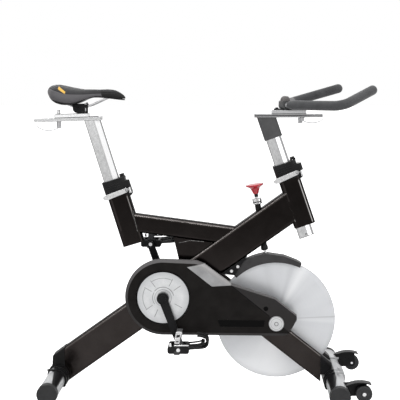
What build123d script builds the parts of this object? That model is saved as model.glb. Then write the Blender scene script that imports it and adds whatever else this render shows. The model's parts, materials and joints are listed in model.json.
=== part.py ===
from build123d import *
from math import asin, atan2, cos, degrees, hypot, radians, sin, sqrt, tan
import os

# Indoor cycling bike. Millimetres. X points the way the rider faces, +Y is the rider's left, +Z is up.
# The drive is on the rider's right (-Y). Every part is drawn with x = 0 over the rear foot tube and
# z = 0 on the floor, and moved at the end so that the origin is under the middle of the whole bike.

# --- Feet -------------------------------------------------------------------------------------------
foot_spread = 982.0          # between the centre lines of the two foot tubes
foot_length = 540.0          # over the end caps
foot_radius = 33.5
foot_wall = 2.5
foot_height = 42.0           # centre line above the floor
cap_wall = 1.8               # end cap round the tube
cap_sleeve = 20.0
cap_end = 6.0
saddle_wall = 7.0            # bracket shell round the foot tube
saddle_half = 63.0           # half its length along the tube
saddle_behind = 10.0         # how far the open shell goes past the tube's top
saddle_skirt = 22.0          # lower edge of the shell below the tube's centre line
tongue_wall = 3.0
flange_reach = 100.0         # outer face of the bracket's flange from the middle plane
flange_thick = 6.0
flange_ear = 28.0            # how far the flange's flat top goes past the tube's top
tongue_gap = 0.5             # from the tongue's tip to the end cap
tongue_root = (-4.0, 29.0)   # edges beside the flange, towards the middle of the bike
tongue_tip = (15.0, 30.0)    # edges at the tip
leveller_radius = 19.0
leveller_stud = 4.0
leveller_gap = 4.0           # from the end cap to the leveller
leveller_stud_length = 26.0
# --- Main beam --------------------------------------------------------------------------------------
beam_slope = 35.65           # degrees
beam_height = 107.0
beam_width = 60.0
beam_corner = 12.0
beam_wall = 3.0
beam_x = 400.0               # a point of its centre line
beam_z = 348.5
beam_cap_front = 23.0
beam_cap_rear = -22.0
beam_cap_proud = 1.2
# --- Seat tube, head tube and their posts -----------------------------------------------------------
tube_depth = 76.0            # fore and aft
tube_width = 54.0
tube_corner = 14.0
tube_wall = 3.0
bushing_ends = 11.0          # tube's outside to the post, mean of front and rear
bushing_sides = 10.0         # tube's outside to the post, at the sides
seat_lean = 17.3             # degrees back from upright
seat_foot_x = 271.5          # middle of the seat tube's lower end
seat_foot_z = 516.4
seat_tube_length = 231.0
head_lean = 19.1
head_foot_x = 874.2
head_foot_z = 586.2
head_tube_length = 223.0
post_depth = tube_depth - 2 * bushing_ends
post_flat = 32.5             # full-width part of the section, from the rear
post_width = tube_width - 2 * bushing_sides
post_nose = 15.0             # width at the front
post_corner = 3.0
post_wall = 2.6
post_setback = 6.2           # post centre behind the tube centre
seat_post_below = 150.0      # depth of the seat post below the top of its tube
head_post_below = 40.5       # length of the handlebar post that hangs out below its tube
bushing_length = 70.0
collar_height = 60.0
collar_wall = 4.0
collar_lip = 8.0
collar_gap = 0.5             # lip to post
# --- Quick-release levers ---------------------------------------------------------------------------
lever_height = 17.0
lever_thick = 5.0
lever_eye = 8.5
lever_reach = 101.0          # pin to tip
lever_pin = 4.0
lever_base = 2.0             # above the collar's lower edge
pin_forward = 9.0            # pin ahead of the tube
pin_outward = 1.5            # pin outside the tube's side
# --- Rails and sliders ------------------------------------------------------------------------------
rail_length = 236.0
rail_thick = 12.5
rail_width = 44.0
rail_slot = 11.0
rail_groove = 4.0
rail_groove_depth = 1.6
seat_rail_x = 45.0
seat_rail_z = 949.0          # underside at its middle
seat_rail_tilt = 2.1
bar_rail_x = 813.0
bar_rail_z = 963.0
bar_rail_tilt = 0.3
slider_length = 120.0
slider_thick = 13.5
slider_width = 46.0
slider_key = 5.0             # depth of the key in the slot
slider_key_half = 8.0        # half its length
stud_radius = 4.0
stud_head = 7.0
seat_stud_height = 15.0      # heads of the two lock studs above their sliders
bar_stud_height = 4.0
seat_slider_x = 13.0         # slider middle ahead of the rail middle
bar_slider_x = 2.0
seat_stud_x = -48.0          # lock stud from the slider middle
bar_stud_x = 46.0
seat_slide_back = 60.0       # travel of the sliders
seat_slide_on = 40.0
bar_slide_back = 55.0
bar_slide_on = 50.0
lock_radius = 8.0
seat_lock_height = 24.0      # nut below the rail
bar_lock_height = 13.0
seat_lock_arm = 82.0
bar_lock_arm = 74.0
seat_lock_rise = 12.0        # tip of the arm above the nut's lower end
bar_lock_rise = 6.0
lock_sag = 8.0               # middle of the arm below the nut
lock_band = 3.0              # thickness of the arm at the nut
lock_width = 8.0
# --- Saddle -----------------------------------------------------------------------------------------
saddle_tail_x = -26.0
saddle_nose_x = 247.0
saddle_half_width = 100.0
saddle_nose_half = 19.0
saddle_waist = 145.0         # from the tail to the waist
saddle_seat = 92.0           # from the tail to the end of the wide part
saddle_shell = 3.5
saddle_gap = 0.3
saddle_rail_radius = 3.5
saddle_rail_y = 22.0
clamp_x = 89.5               # tilt axis
clamp_z = 987.0
clamp_pin = 4.0
knuckle_radius = 8.0
knuckle_half = 18.0
clamp_half = 29.0            # half width over the rails
clamp_length = 45.0
clamp_top = 1009.0
clamp_rail_z = 1002.0
# --- Handlebar --------------------------------------------------------------------------------------
bar_root_x = 803.0
bar_root_z = 1006.0
bar_turn = 18.4              # turned to the rider's left in the clamp
bar_pitch = 2.0              # nose down
bar_root_y = 15.0
bar_bend = (114.0, 228.0, 7.0)
bar_tip = (260.0, 144.0, 62.0)
bar_bend_radius = 38.0
bar_radius = 11.0
foam_wall = 4.5
stem_half = 20.0
stem_radius = 18.0
stem_cap_radius = 14.0
stem_cap_top = 1035.0
bracket_thick = 5.0
bracket_front = 24.0
bracket_back = 40.0
bracket_bolt_back = 30.0     # its bolt behind the swivel
sleeve_wall = 5.0
sleeve_height = 72.0
# --- Top tube and gusset ----------------------------------------------------------------------------
top_slope = -7.4
top_x = 417.0
top_z = 573.6
top_height = 65.0
top_width = 50.0
top_corner = 12.0
top_wall = 2.5
gusset_rear_low = 437.0
gusset_rear_high = 413.0
gusset_half = 24.0
gusset_wall = 3.0
# --- Flywheel and its legs --------------------------------------------------------------------------
wheel_x = 774.6
wheel_z = 249.0
wheel_radius = 210.6
wheel_half = 12.0
wheel_hub_radius = 34.0
wheel_hub_half = 22.0
axle_radius = 8.5
leg_slope = 38.1             # degrees below level, falling forward
leg_height = 77.0
leg_width = 28.0
leg_corner = 9.0
leg_wall = 2.5
leg_drop = 33.2              # leg centre line below the flywheel axle
leg_rise = 317.0             # from the axle up to the leg's upper end
leg_end_x = 932.0
leg_shoe_x = 971.0
leg_shoe_low = 62.0
lug_radius = 20.0
bearing_radius = 15.0
bearing_width = 10.0
# --- Drive ------------------------------------------------------------------------------------------
crank_x = 380.1
crank_z = 338.5
shell_radius = 24.0
shell_wall = 5.0
shell_left = 82.0            # far end of the bottom bracket shell
crank_axle_radius = 10.0
crank_length = 170.0
crank_angle = 19.9           # right arm, degrees forward of straight down
arm_thick = 14.0
arm_inner = 90.0             # arm's inner face from the middle plane
arm_root = 15.5
arm_tip = 12.0
arm_boss = 21.0
arm_boss_rise = 2.0          # boss outside the arm's face
crank_cap = 3.0
pulley_radius = 84.0
small_pulley_radius = 27.0
pulley_inner = 65.0          # belt plane, nearer the frame
pulley_width = 14.0
belt_thick = 3.0
disc_radius = 90.0
disc_thick = 3.0
disc_hub = 38.0
# --- Drive cover ------------------------------------------------------------------------------------
cover_back = 58.0            # inner face of the back plate
cover_plate = 2.5
cover_front = 84.0
cover_wall = 2.5
cover_round = 134.0          # radius about the crank
cover_bevel = 11.0
cover_bevel_depth = 8.0
cover_opening = 95.0
cover_top = (497.0, 468.0)
cover_corner = (522.0, 458.0)
cover_waist = (616.0, 388.0)
cover_shoulder = (769.7, 338.0)
cover_brow = (845.3, 277.5)
cover_chin = (846.5, 262.0)
cover_heel = (819.0, 212.0)
slot_x = (569.0, 734.4)
slot_z = (236.0, 260.5)
slot_depth = 1.4
cover_hole = (737.9, 301.5)
cover_hole_radius = 8.0
trim_thick = 1.2
hub_cap_radius = 27.0
hub_cap_thick = 4.0
# --- Pedals -----------------------------------------------------------------------------------------
spindle_radius = 6.5
pedal_start = 112.0          # inner face from the middle plane
pedal_width = 76.0
pedal_length = 74.0
pedal_height = 26.0
pedal_bar = 11.0
pedal_barrel = 11.5
pedal_wall = 6.0
cage_thick = 4.5
cage_half = 27.0
cage_front = 108.0           # ahead of the spindle
cage_top = 66.0              # above the spindle
strap_thick = 2.0
strap_width = 16.0
strap_rise = 64.0
strap_back = 17.0            # behind the spindle
buckle_height = 34.0
# --- Brake ------------------------------------------------------------------------------------------
brake_lean = 9.18
guide_radius = 10.5
guide_low = 250.0            # distances from the flywheel axle along the brake's axis
guide_high = 416.0
guide_nut = 16.0
guide_nut_height = 19.5
rod_radius = 5.0
pad_gap = 2.6
pad_thick = 12.0
pad_length = 52.0
pad_half = 10.0
brake_travel = 2.4           # how far the knob is pushed down to brake
knob_clear = 14.0            # above the guide with the knob pressed down
knob_low = guide_high + guide_nut_height + brake_travel + knob_clear
knob_top = 486.0
knob_radius = 31.5
knob_rim = 6.0               # thickness of its flat top
knob_flare = 8.0             # height of the flare under the top
knob_waist = 17.0            # radius below the flare
knob_stem = 9.0
# --- Flywheel guard ---------------------------------------------------------------------------------
guard_radius = 239.0
guard_wall = 3.0
guard_half = 24.0
guard_lip = 205.0
guard_start = 66.0           # degrees from straight ahead
guard_end = 133.0
guard_brow = ((735.0, 486.0), (803.0, 476.5), (850.0, 458.5), (866.0, 448.5), (885.0, 430.0))
bracket_wall = 3.0
# --- Transport wheels -------------------------------------------------------------------------------
roller_radius = 28.0
roller_width = 24.0
roller_x = 86.0              # ahead of the front foot tube
roller_z = 38.5
roller_y = 200.0
roller_bolt = 4.5
roller_arm = 4.0
fender_thick = 4.0
fender_over = 5.0
fender_line = ((-62.0, 68.0), (-20.0, 80.5), (23.0, 75.0))   # its top, from the wheel's centre
# --- Fits -------------------------------------------------------------------------------------------
seat_gap = 0.02              # between pieces that are fixed together
run_gap = 0.06               # between pieces that turn or slide
slide_gap = 0.03             # under the sliders
side_gap = 0.4               # beside a turning piece


def upright(x, y, radius, low, high):
    """Cylinder along local z."""
    return Pos(x, y, low) * Cylinder(radius, high - low, align=(Align.CENTER, Align.CENTER, Align.MIN))


def block(x, y, z):
    """Box between pairs of bounds."""
    size = [high - low for low, high in (x, y, z)]
    return Pos(*[(low + high) / 2 for low, high in (x, y, z)]) * Box(*size)


def prism(sketch, low, high):
    return extrude(Pos(0, 0, low) * sketch, high - low, dir=(0, 0, 1))


def side(sketch, low, high):
    """Solid whose x-z profile is the sketch, between two distances to the rider's left."""
    return extrude(Plane.XZ.offset(-high) * sketch, high - low, dir=(0, -1, 0))


def pin(x, z, radius, low, high):
    """Cylinder along y."""
    return side(Pos(x, z) * Circle(radius), low, high)


def outline(*points):
    """Polygon with its face upward, whichever way round the points run."""
    turns = zip(points, points[1:] + points[:1])
    area = sum(a[0] * b[1] - b[0] * a[1] for a, b in turns)
    return Polygon(*(points if area > 0 else points[::-1]), align=None)


def leaning(x, z, lean):
    """Frame in the middle plane: local z leans back from upright, local x points forward."""
    turn = radians(lean)
    return Plane(origin=(x, 0, z), x_dir=(cos(turn), 0, sin(turn)), z_dir=(-sin(turn), 0, cos(turn)))


def point_in(frame, x, z):
    """x and z of a point given in a leaning frame."""
    place = frame.from_local_coords((x, 0, z))
    return place.X, place.Z


def section(depth, width, corner, wall=0.0):
    """Rounded rectangle, shrunk by a wall."""
    high, wide = depth - 2 * wall, width - 2 * wall
    return RectangleRounded(high, wide, min(max(corner - wall, 1.0), 0.49 * high, 0.49 * wide))


def tube(depth, width, corner, wall, low, high):
    return prism(section(depth, width, corner) - section(depth, width, corner, wall), low, high)


def post_section(grow=0.0):
    """Section of both posts: flat sides at the rear, chamfered to a narrow nose in front."""
    back, front = -post_depth / 2 - grow, post_depth / 2 + grow
    shoulder = -post_depth / 2 + post_flat
    half, nose = post_width / 2 + grow, post_nose / 2 + grow
    left = ((front, nose), (shoulder, half), (back, half))
    shape = outline((back, -half), (shoulder, -half), (front, -nose), *left)
    return fillet(shape.vertices(), min(post_corner, 0.4 * nose))


def both(shape):
    """The shape and its mirror image on the other side of the middle plane."""
    return Compound(children=[shape, mirror(shape, about=Plane.XZ)])


def group(*shapes):
    solids = [solid for shape in shapes for solid in shape.solids()]
    return Compound(children=solids)


# --- Frames and heights that several parts share ----------------------------------------------------
SEAT = leaning(seat_foot_x, seat_foot_z, seat_lean)
HEAD = leaning(head_foot_x, head_foot_z, head_lean)
BEAM = leaning(beam_x, beam_z, beam_slope - 90)
TOP = leaning(top_x, top_z, top_slope - 90)
BRAKE = leaning(wheel_x, wheel_z, brake_lean)
SEAT_RAIL = leaning(seat_rail_x, seat_rail_z, seat_rail_tilt)
BAR_RAIL = leaning(bar_rail_x, bar_rail_z, bar_rail_tilt)
LEG_TURN = radians(leg_slope)
LEG = leaning(wheel_x - leg_drop * sin(LEG_TURN), wheel_z - leg_drop * cos(LEG_TURN), 90 - leg_slope)
BAR = Plane(Location((bar_root_x, 0, bar_root_z), (0, bar_pitch, bar_turn)))
front_foot_x = foot_spread
saddle_radius = foot_radius + saddle_wall
leg_inner = beam_width / 2
leg_outer = leg_inner + leg_width
roller_centre_x = front_foot_x + roller_x
bar_slider_top = rail_thick + slider_thick


def beam_edge(x, side_of):
    """Height of the beam's upper (+1) or lower (-1) edge above a place on the floor."""
    slope = radians(beam_slope)
    return beam_z + (x - beam_x) * tan(slope) + side_of * beam_height / 2 / cos(slope)


def top_tube_edge(x, side_of):
    slope = radians(top_slope)
    return top_z + (x - top_x) * tan(slope) + side_of * top_height / 2 / cos(slope)


def beam_meets_top_tube():
    """Where the top tube's lower edge meets the beam's upper edge."""
    rise = tan(radians(beam_slope)) - tan(radians(top_slope))
    x = beam_x + (top_tube_edge(beam_x, -1) - beam_edge(beam_x, 1)) / rise
    return x, beam_edge(x, 1)


def beam_solid(shrink=0.0):
    return BEAM.location * prism(section(beam_height, beam_width, beam_corner, shrink), -520, 640)


def head_solid():
    return HEAD.location * prism(section(tube_depth, tube_width, tube_corner), 0, head_tube_length)


def seat_solid():
    return SEAT.location * prism(section(tube_depth, tube_width, tube_corner), 0, seat_tube_length)


# --- Frame ------------------------------------------------------------------------------------------
def main_beam():
    beam = beam_solid() - beam_solid(beam_wall)
    beyond_head = block((tube_corner - tube_depth / 2, 600), (-100, 100), (-400, 600))
    beam -= HEAD.location * beyond_head
    beam -= head_solid()
    beam -= block((beam_cap_front - 200, beam_cap_front), (-100, 100), (-100, 400))
    beam -= pin(0, foot_height, saddle_radius, -100, 100)
    beam -= pin(crank_x, crank_z, shell_radius, -100, 100)
    beam -= BRAKE.location * upright(0, 0, guide_radius, guide_low - 20, guide_high)
    return beam


def beam_end_cap():
    """Plastic cap that closes the low end of the beam, a little proud of it."""
    high = beam_edge(beam_cap_front, 1) + beam_cap_proud
    low = beam_edge(beam_cap_rear, 1) + beam_cap_proud
    inset = 4.0
    profile = outline(
        (beam_cap_front, high), (beam_cap_rear + 2, low), (beam_cap_rear, low - 22),
        (beam_cap_rear + 5, foot_height), (beam_cap_front, foot_height),
    )
    hollow = outline(
        (beam_cap_front, high - inset - 1), (beam_cap_rear + inset, low - inset - 2),
        (beam_cap_rear + inset + 1, foot_height), (beam_cap_front, foot_height),
    )
    half = beam_width / 2 + beam_cap_proud
    cap = side(profile, -half, half)
    rim = cap.edges().filter_by(lambda e: abs(e.center().Y) > half - 0.1 and e.center().Z > low - 30)
    cap = fillet(rim, 3.0)
    cap -= side(hollow, inset - half, half - inset)
    return cap - pin(0, foot_height, saddle_radius, -100, 100)


def seat_tube():
    return SEAT.location * tube(tube_depth, tube_width, tube_corner, tube_wall, 0, seat_tube_length)


def head_tube():
    return HEAD.location * tube(tube_depth, tube_width, tube_corner, tube_wall, 0, head_tube_length)


def top_tube():
    tube_run = TOP.location * tube(top_height, top_width, top_corner, top_wall, -150, 230)
    return tube_run - seat_solid() - beam_solid()


def gusset():
    """Box gusset in the angle between the top tube and the beam."""
    corner = beam_meets_top_tube()

    def triangle(inset):
        return outline(
            (gusset_rear_high + inset, top_tube_edge(gusset_rear_high + inset, -1) + 1),
            (gusset_rear_low + inset, beam_edge(gusset_rear_low + inset, 1) - 1),
            (corner[0], corner[1]),
        )

    box = side(triangle(0), -gusset_half, gusset_half)
    box -= side(triangle(gusset_wall), gusset_wall - gusset_half, gusset_half - gusset_wall)
    return box - beam_solid() - TOP.location * prism(section(top_height, top_width, top_corner), -200, 300)


def leg():
    """Front leg on the rider's right, from the beam's side down to the front foot."""
    run = LEG.location * tube(leg_height, leg_width, leg_corner, leg_wall, -300, leg_rise)
    run += LEG.location * prism(section(leg_height, leg_width, leg_corner), leg_rise - leg_wall, leg_rise)
    run = Pos(0, -(leg_inner + leg_outer) / 2, 0) * run
    run -= block((leg_end_x, leg_end_x + 200), (-100, 0), (-200, 300))
    run += pin(wheel_x, wheel_z, lug_radius, -leg_outer, -leg_inner)
    return run - pin(wheel_x, wheel_z, bearing_radius + seat_gap, -100, 0)


def leg_shoe():
    """Black end piece between the leg and the front foot, a little proud of the leg."""
    grown = section(leg_height + 2, leg_width + 2, leg_corner + 1)
    shoe = Pos(0, -(leg_inner + leg_outer) / 2, 0) * (LEG.location * prism(grown, -330, -150))
    shoe &= block((leg_end_x, leg_shoe_x), (-100, 0), (leg_shoe_low, 200))
    return shoe - pin(front_foot_x, foot_height, saddle_radius, -100, 100)


def bottom_bracket():
    near, far = -cover_back, shell_left
    ring = pin(crank_x, crank_z, shell_radius, near, far)
    return ring - pin(crank_x, crank_z, shell_radius - shell_wall, near, far)


def crank_bearings():
    def race(low):
        ring = pin(crank_x, crank_z, shell_radius - shell_wall, low, low + bearing_width)
        return ring - pin(crank_x, crank_z, crank_axle_radius + run_gap, low, low + bearing_width)

    return group(race(-cover_back), race(shell_left - bearing_width))


def axle_bearings():
    middle = (leg_inner + leg_outer) / 2

    def race(centre):
        low = centre - bearing_width / 2
        ring = pin(wheel_x, wheel_z, bearing_radius, low, low + bearing_width)
        return ring - pin(wheel_x, wheel_z, axle_radius + run_gap, low, low + bearing_width)

    return group(race(-middle), race(middle))


# --- Feet -------------------------------------------------------------------------------------------
def leveller_places():
    reach = foot_length / 2 - cap_end - cap_sleeve - leveller_gap - leveller_radius
    return [(x, y) for x in (0, front_foot_x) for y in (-reach, reach)]


def foot_tube(x):
    half = foot_length / 2 - cap_end
    body = pin(x, foot_height, foot_radius, -half, half)
    body -= pin(x, foot_height, foot_radius - foot_wall, -half, half)
    for leveller_x, y in leveller_places():
        if leveller_x == x:
            body -= upright(x, y, leveller_stud + run_gap, 0, foot_height)
    return body


def bracket_profile(x, inward, thick):
    """Side view of the bracket round the tube: over the top and down the side towards the bike's middle."""
    ring = Pos(x, foot_height) * (Circle(foot_radius + thick) - Circle(foot_radius))
    far = inward * (foot_radius + thick + 1)
    low, high = foot_height - saddle_skirt, foot_height + foot_radius + thick + 1
    back = -inward * saddle_behind
    return ring & outline((x + back, low), (x + far, low), (x + far, high), (x + back, high))


def foot_bracket(x):
    """Shell on the foot tube, open behind, with a flange and a tapered tongue towards each end."""
    inward = 1 if x < front_foot_x / 2 else -1
    under = beam_width / 2 + beam_cap_proud
    near = (x - 80, x + 80)
    body = pin(x, foot_height, saddle_radius, -under, under)
    body -= block(near, (-under - 1, under + 1), (-50, foot_height - 10))
    body += side(bracket_profile(x, inward, saddle_wall), -saddle_half, saddle_half)
    body += side(bracket_profile(x, inward, tongue_wall), -flange_reach, flange_reach)
    top = foot_height + saddle_radius
    ear_sides = sorted((x, x - inward * flange_ear))
    ear = block(ear_sides, (-flange_reach, flange_reach), (top - flange_thick, top))
    flange = side(bracket_profile(x, inward, saddle_wall), -flange_reach, flange_reach) + ear
    between = flange_reach - flange_thick
    body += flange - block(near, (-between, between), (-50, 200))
    far = foot_length / 2 - cap_end - cap_sleeve - tongue_gap
    taper = outline(
        (x + inward * tongue_root[0], -flange_reach), (x + inward * tongue_tip[0], -far),
        (x + inward * tongue_tip[1], -far), (x + inward * tongue_root[1], -flange_reach),
        (x + inward * tongue_root[1], flange_reach), (x + inward * tongue_tip[1], far),
        (x + inward * tongue_tip[0], far), (x + inward * tongue_root[0], flange_reach),
    )
    sleeve = pin(x, foot_height, foot_radius + tongue_wall, -far, far)
    body += sleeve & prism(taper, foot_height, top)
    return body - pin(x, foot_height, foot_radius, -300, 300)


def foot_end_caps():
    def cap(x):
        end, inner = foot_length / 2, foot_length / 2 - cap_end - cap_sleeve
        body = pin(x, foot_height, foot_radius + cap_wall, inner, end)
        body = fillet(body.edges().sort_by(Axis.Y)[-1], 2.5)
        return body - pin(x, foot_height, foot_radius, inner, end - cap_end)

    return group(both(cap(0)), both(cap(front_foot_x)))


def levelling_foot(place):
    """Rubber pad with its threaded stud, under one end of a foot tube."""
    x, y = leveller_places()[place]
    top = foot_height - foot_radius
    pad = upright(x, y, leveller_radius, 0, top)
    pad = chamfer(pad.edges().sort_by(Axis.Z)[-1], 2.0)
    return pad + upright(x, y, leveller_stud, 0, top + leveller_stud_length)


# --- Transport wheels -------------------------------------------------------------------------------
def fender_strip(low, high):
    """Curved visor over a transport wheel, from the foot tube forward."""
    def arc(drop):
        return ThreePointArc(*[(roller_centre_x + dx, z - drop) for dx, z in fender_line])

    upper, lower = arc(0), arc(fender_thick)
    edges = [upper, lower, Line(upper @ 0, lower @ 0), Line(upper @ 1, lower @ 1)]
    return side(make_face(edges), low, high)


def wheel_bracket():
    """Arm and fender that carry the transport wheel on the rider's right."""
    inner = roller_y - roller_width / 2 - side_gap
    arm_back = outline(
        (front_foot_x + 10, 70), (front_foot_x + 10, 22), (roller_centre_x - 12, roller_z - 12),
        (roller_centre_x + 12, roller_z), (roller_centre_x + 10, 76), (roller_centre_x - 20, 78),
    )
    arm = side(arm_back, -inner, -inner + roller_arm)
    arm += pin(roller_centre_x, roller_z, 13, -inner, -inner + roller_arm)
    over = roller_y + roller_width / 2 + fender_over
    bracket = arm + fender_strip(-over, -inner + roller_arm)
    bracket -= pin(front_foot_x, foot_height, foot_radius, -300, 0) + foot_bracket(front_foot_x)
    return bracket - pin(roller_centre_x, roller_z, roller_bolt + seat_gap, -300, 0)


def wheel_bolt():
    end = roller_y + roller_width / 2 + side_gap
    inner = roller_y - roller_width / 2 - side_gap - roller_arm
    shank = pin(roller_centre_x, roller_z, roller_bolt, -end, -inner)
    return shank + pin(roller_centre_x, roller_z, roller_bolt + 2, -end - 3, -end)


def roller(side_of):
    """Transport wheel, on the rider's right (-1) or left (+1)."""
    half = roller_width / 2
    wheel = pin(roller_centre_x, roller_z, roller_radius, -half, half)
    wheel = fillet(wheel.edges().filter_by(GeomType.CIRCLE), 3.0)
    for face in (-half, half):
        ring = Circle(roller_radius - 7) - Circle(roller_bolt + 5)
        wheel -= side(Pos(roller_centre_x, roller_z) * ring, min(face, 0.75 * face), max(face, 0.75 * face))
    wheel -= pin(roller_centre_x, roller_z, roller_bolt + run_gap, -half, half)
    return Pos(0, side_of * roller_y, 0) * wheel


# --- Collars, levers and bushings -------------------------------------------------------------------
def pin_place():
    return tube_depth / 2 + pin_forward, -tube_width / 2 - pin_outward


def collar(frame, tube_length):
    """Plastic collar over the top of a tube: a lip round the post and a boss for the lever's pin."""
    x, y = pin_place()
    low, high = 0, collar_height
    boss_low, boss_high = lever_base + lever_height + side_gap, collar_height - 15
    body = prism(section(tube_depth, tube_width, tube_corner, -collar_wall), low, high)
    body = chamfer(body.edges().group_by(Axis.Z)[-1], 1.5)
    body += upright(x, y, lever_eye + 1, boss_low, boss_high)
    front = tube_depth / 2 + collar_wall
    eye = ((x + lever_eye - 1, y + 2), (x - 2, y - lever_eye), (x - 20, y - 2))
    nose = outline((front - 8, 16), (front + 6, 10), *eye)
    body += prism(nose, boss_low, boss_high)
    tab = section(16, 22, 3)
    body += prism(Pos(front - 9, 0) * tab, high, high + 11)
    rest = collar_height - collar_lip
    body -= prism(section(tube_depth, tube_width, tube_corner), -1, rest)
    body -= prism(Pos(-post_setback, 0) * post_section(collar_gap), rest - 1, high + 20)
    body -= upright(x, y, lever_pin + seat_gap, boss_low - 1, boss_high + 1)
    return (frame.location * (Pos(0, 0, tube_length - rest) * body)).solids().sort_by(SortBy.VOLUME)[-1]


def collar_pin(frame, tube_length):
    x, y = pin_place()
    rest = collar_height - collar_lip
    shank = upright(x, y, lever_pin, lever_base - 2, collar_height - 15)
    shank += upright(x, y, lever_pin + 2, lever_base - 2.5 - side_gap, lever_base - side_gap)
    return frame.location * (Pos(0, 0, tube_length - rest) * shank)


def quick_lever(frame, tube_length):
    """Flat lever that lies along the collar's right side and swings outward about its pin."""
    x, y = pin_place()
    outer = y - lever_eye
    band = outline(
        (x, outer), (x, outer + lever_thick), (x - lever_reach + 6, outer + lever_thick),
        (x - lever_reach, outer + lever_thick - 1.5), (x - lever_reach, outer + 0.5), (x - lever_reach + 4, outer - 1),
    )
    low, high = lever_base, lever_base + lever_height
    lever = prism(band, low, high) + upright(x, y, lever_eye, low, high)
    lever -= upright(x, y, lever_pin + run_gap, low - 1, high + 1)
    rest = collar_height - collar_lip
    return frame.location * (Pos(0, 0, tube_length - rest) * lever)


def bushing(frame, tube_length):
    ring = section(tube_depth, tube_width, tube_corner, tube_wall + seat_gap)
    ring -= Pos(-post_setback, 0) * post_section(run_gap)
    return frame.location * prism(ring, tube_length - bushing_length, tube_length)


# --- Posts and rails --------------------------------------------------------------------------------
def post(frame, low, rail):
    """Hollow post from a depth in its tube up to the underside of its rail."""
    walls = prism(Pos(-post_setback, 0) * (post_section() - post_section(-post_wall)), low, 600)
    return frame.location * walls - rail.location * block((-400, 400), (-100, 100), (0, 600))


def rail(frame, slot_from, slot_to):
    """Flat rail with a slot for the lock stud and a groove along each side."""
    half, wide = rail_length / 2, rail_width / 2
    bar = block((-half, half), (-wide, wide), (0, rail_thick))
    bar = chamfer(bar.edges().filter_by(Axis.X), 1.0)
    middle = rail_thick / 2
    for face in (-wide, wide):
        edge = (face, face - rail_groove_depth * face / wide)
        bar -= block((-half, half), sorted(edge), (middle - rail_groove / 2, middle + rail_groove / 2))
    long = slot_to - slot_from + 2 * slider_key_half
    slot = Pos((slot_to + slot_from) / 2, 0) * SlotCenterToCenter(long, rail_slot)
    return frame.location * (bar - prism(slot, -1, rail_thick + 1))


def slider(frame, centre, stud):
    """Sliding block on the rail, with a key in the slot and a bore for the stud."""
    half, wide = slider_length / 2, slider_width / 2
    low, high = rail_thick, rail_thick + slider_thick
    body = block((centre - half, centre + half), (-wide, wide), (low + slide_gap, high))
    body = fillet(body.edges().filter_by(Axis.Z), 4.0)
    body = chamfer(body.edges().group_by(Axis.Z)[-1], 1.0)
    wide_key = rail_slot / 2 - run_gap
    along = (stud - slider_key_half, stud + slider_key_half)
    body += block(along, (-wide_key, wide_key), (low - slider_key, low + slide_gap))
    return frame.location * (body - upright(stud, 0, stud_radius + seat_gap, -50, 50))


def stud(frame, place, depth, head_height):
    """Lock stud through slider and rail, with a round head on top."""
    top = rail_thick + slider_thick
    rod = upright(place, 0, stud_radius, -depth, top)
    head = upright(place, 0, stud_head, top, top + head_height)
    return frame.location * (rod + chamfer(head.edges().sort_by(Axis.Z)[-1], 1.5))


def slide_lock(frame, place, turn, height, arm, rise):
    """Lock under the rail: a round nut with a thin curved arm."""
    nut = upright(0, 0, lock_radius, -height, -run_gap)
    start, middle, end = (0, -height + 2), (0.5 * arm, -height - lock_sag), (arm, -height + rise)
    path = ThreePointArc(start, middle, end)
    back = ThreePointArc(
        (0, start[1] + lock_band), (middle[0], middle[1] + lock_band), (arm, end[1] + lock_band / 2),
    )
    edges = [path, back, Line(path @ 0, back @ 0), Line(path @ 1, back @ 1)]
    lock = nut + side(make_face(edges), -lock_width / 2, lock_width / 2)
    lock -= upright(0, 0, stud_radius + run_gap, -height - 20, 1)
    return frame.location * (Pos(place, 0, 0) * Rot(0, 0, turn) * lock)


def seat_rail():
    stud_now = seat_slider_x + seat_stud_x
    return rail(SEAT_RAIL, stud_now - seat_slide_back, stud_now + seat_slide_on)


def bar_rail():
    stud_now = bar_slider_x + bar_stud_x
    return rail(BAR_RAIL, stud_now - bar_slide_back, stud_now + bar_slide_on)


def post_sleeve():
    """Grey sleeve over the top of the handlebar post."""
    outer = section(post_depth + 2 * sleeve_wall, post_width + 2 * sleeve_wall, 8)
    top = (bar_rail_z - head_foot_z) / cos(radians(head_lean)) + 20
    shape = Pos(-post_setback, 0) * (outer - post_section(seat_gap))
    walls = prism(shape, top - sleeve_height - 22, top + 60)
    return HEAD.location * walls - BAR_RAIL.location * block((-400, 400), (-100, 100), (0, 600))


# --- Saddle -----------------------------------------------------------------------------------------
SADDLE_LOW = [(-24, 1046), (8, 1018), (52, 1007), (86, 1014), (120, 1028), (170, 1030), (245, 1022)]
SADDLE_TOP = [
    (247, 1031), (226, 1052), (190, 1062), (150, 1061), (107, 1061), (60, 1069), (8, 1079), (-25, 1062),
]


def saddle_plan(shrink=0.0):
    """Outline of the saddle from above."""
    tail, nose = saddle_tail_x + shrink, saddle_nose_x - shrink
    wide, narrow = saddle_half_width - shrink, saddle_nose_half - shrink
    half = [(tail, 0), (tail + 8, 0.5 * wide), (tail + 42, wide), (tail + saddle_seat, 0.82 * wide),
            (tail + saddle_waist, 0.38 * wide), (nose - 60, narrow + 3), (nose - 9, narrow - 4), (nose, 0)]
    left = Spline(*half, tangents=((0, 1), (0, -1)))
    return make_face([left, mirror(left, about=Plane.XZ)])


def saddle_profile(rise, top):
    """Side view between the saddle's lower line, raised, and an upper line."""
    low = Spline(*[(x, z + rise) for x, z in SADDLE_LOW])
    high = Spline(*top)
    return make_face([low, high, Line(low @ 1, high @ 0), Line(high @ 1, low @ 0)])


def saddle_pad():
    profile = saddle_profile(saddle_shell + saddle_gap, SADDLE_TOP)
    return side(profile, -150, 150) & prism(saddle_plan(), 900, 1200)


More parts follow.
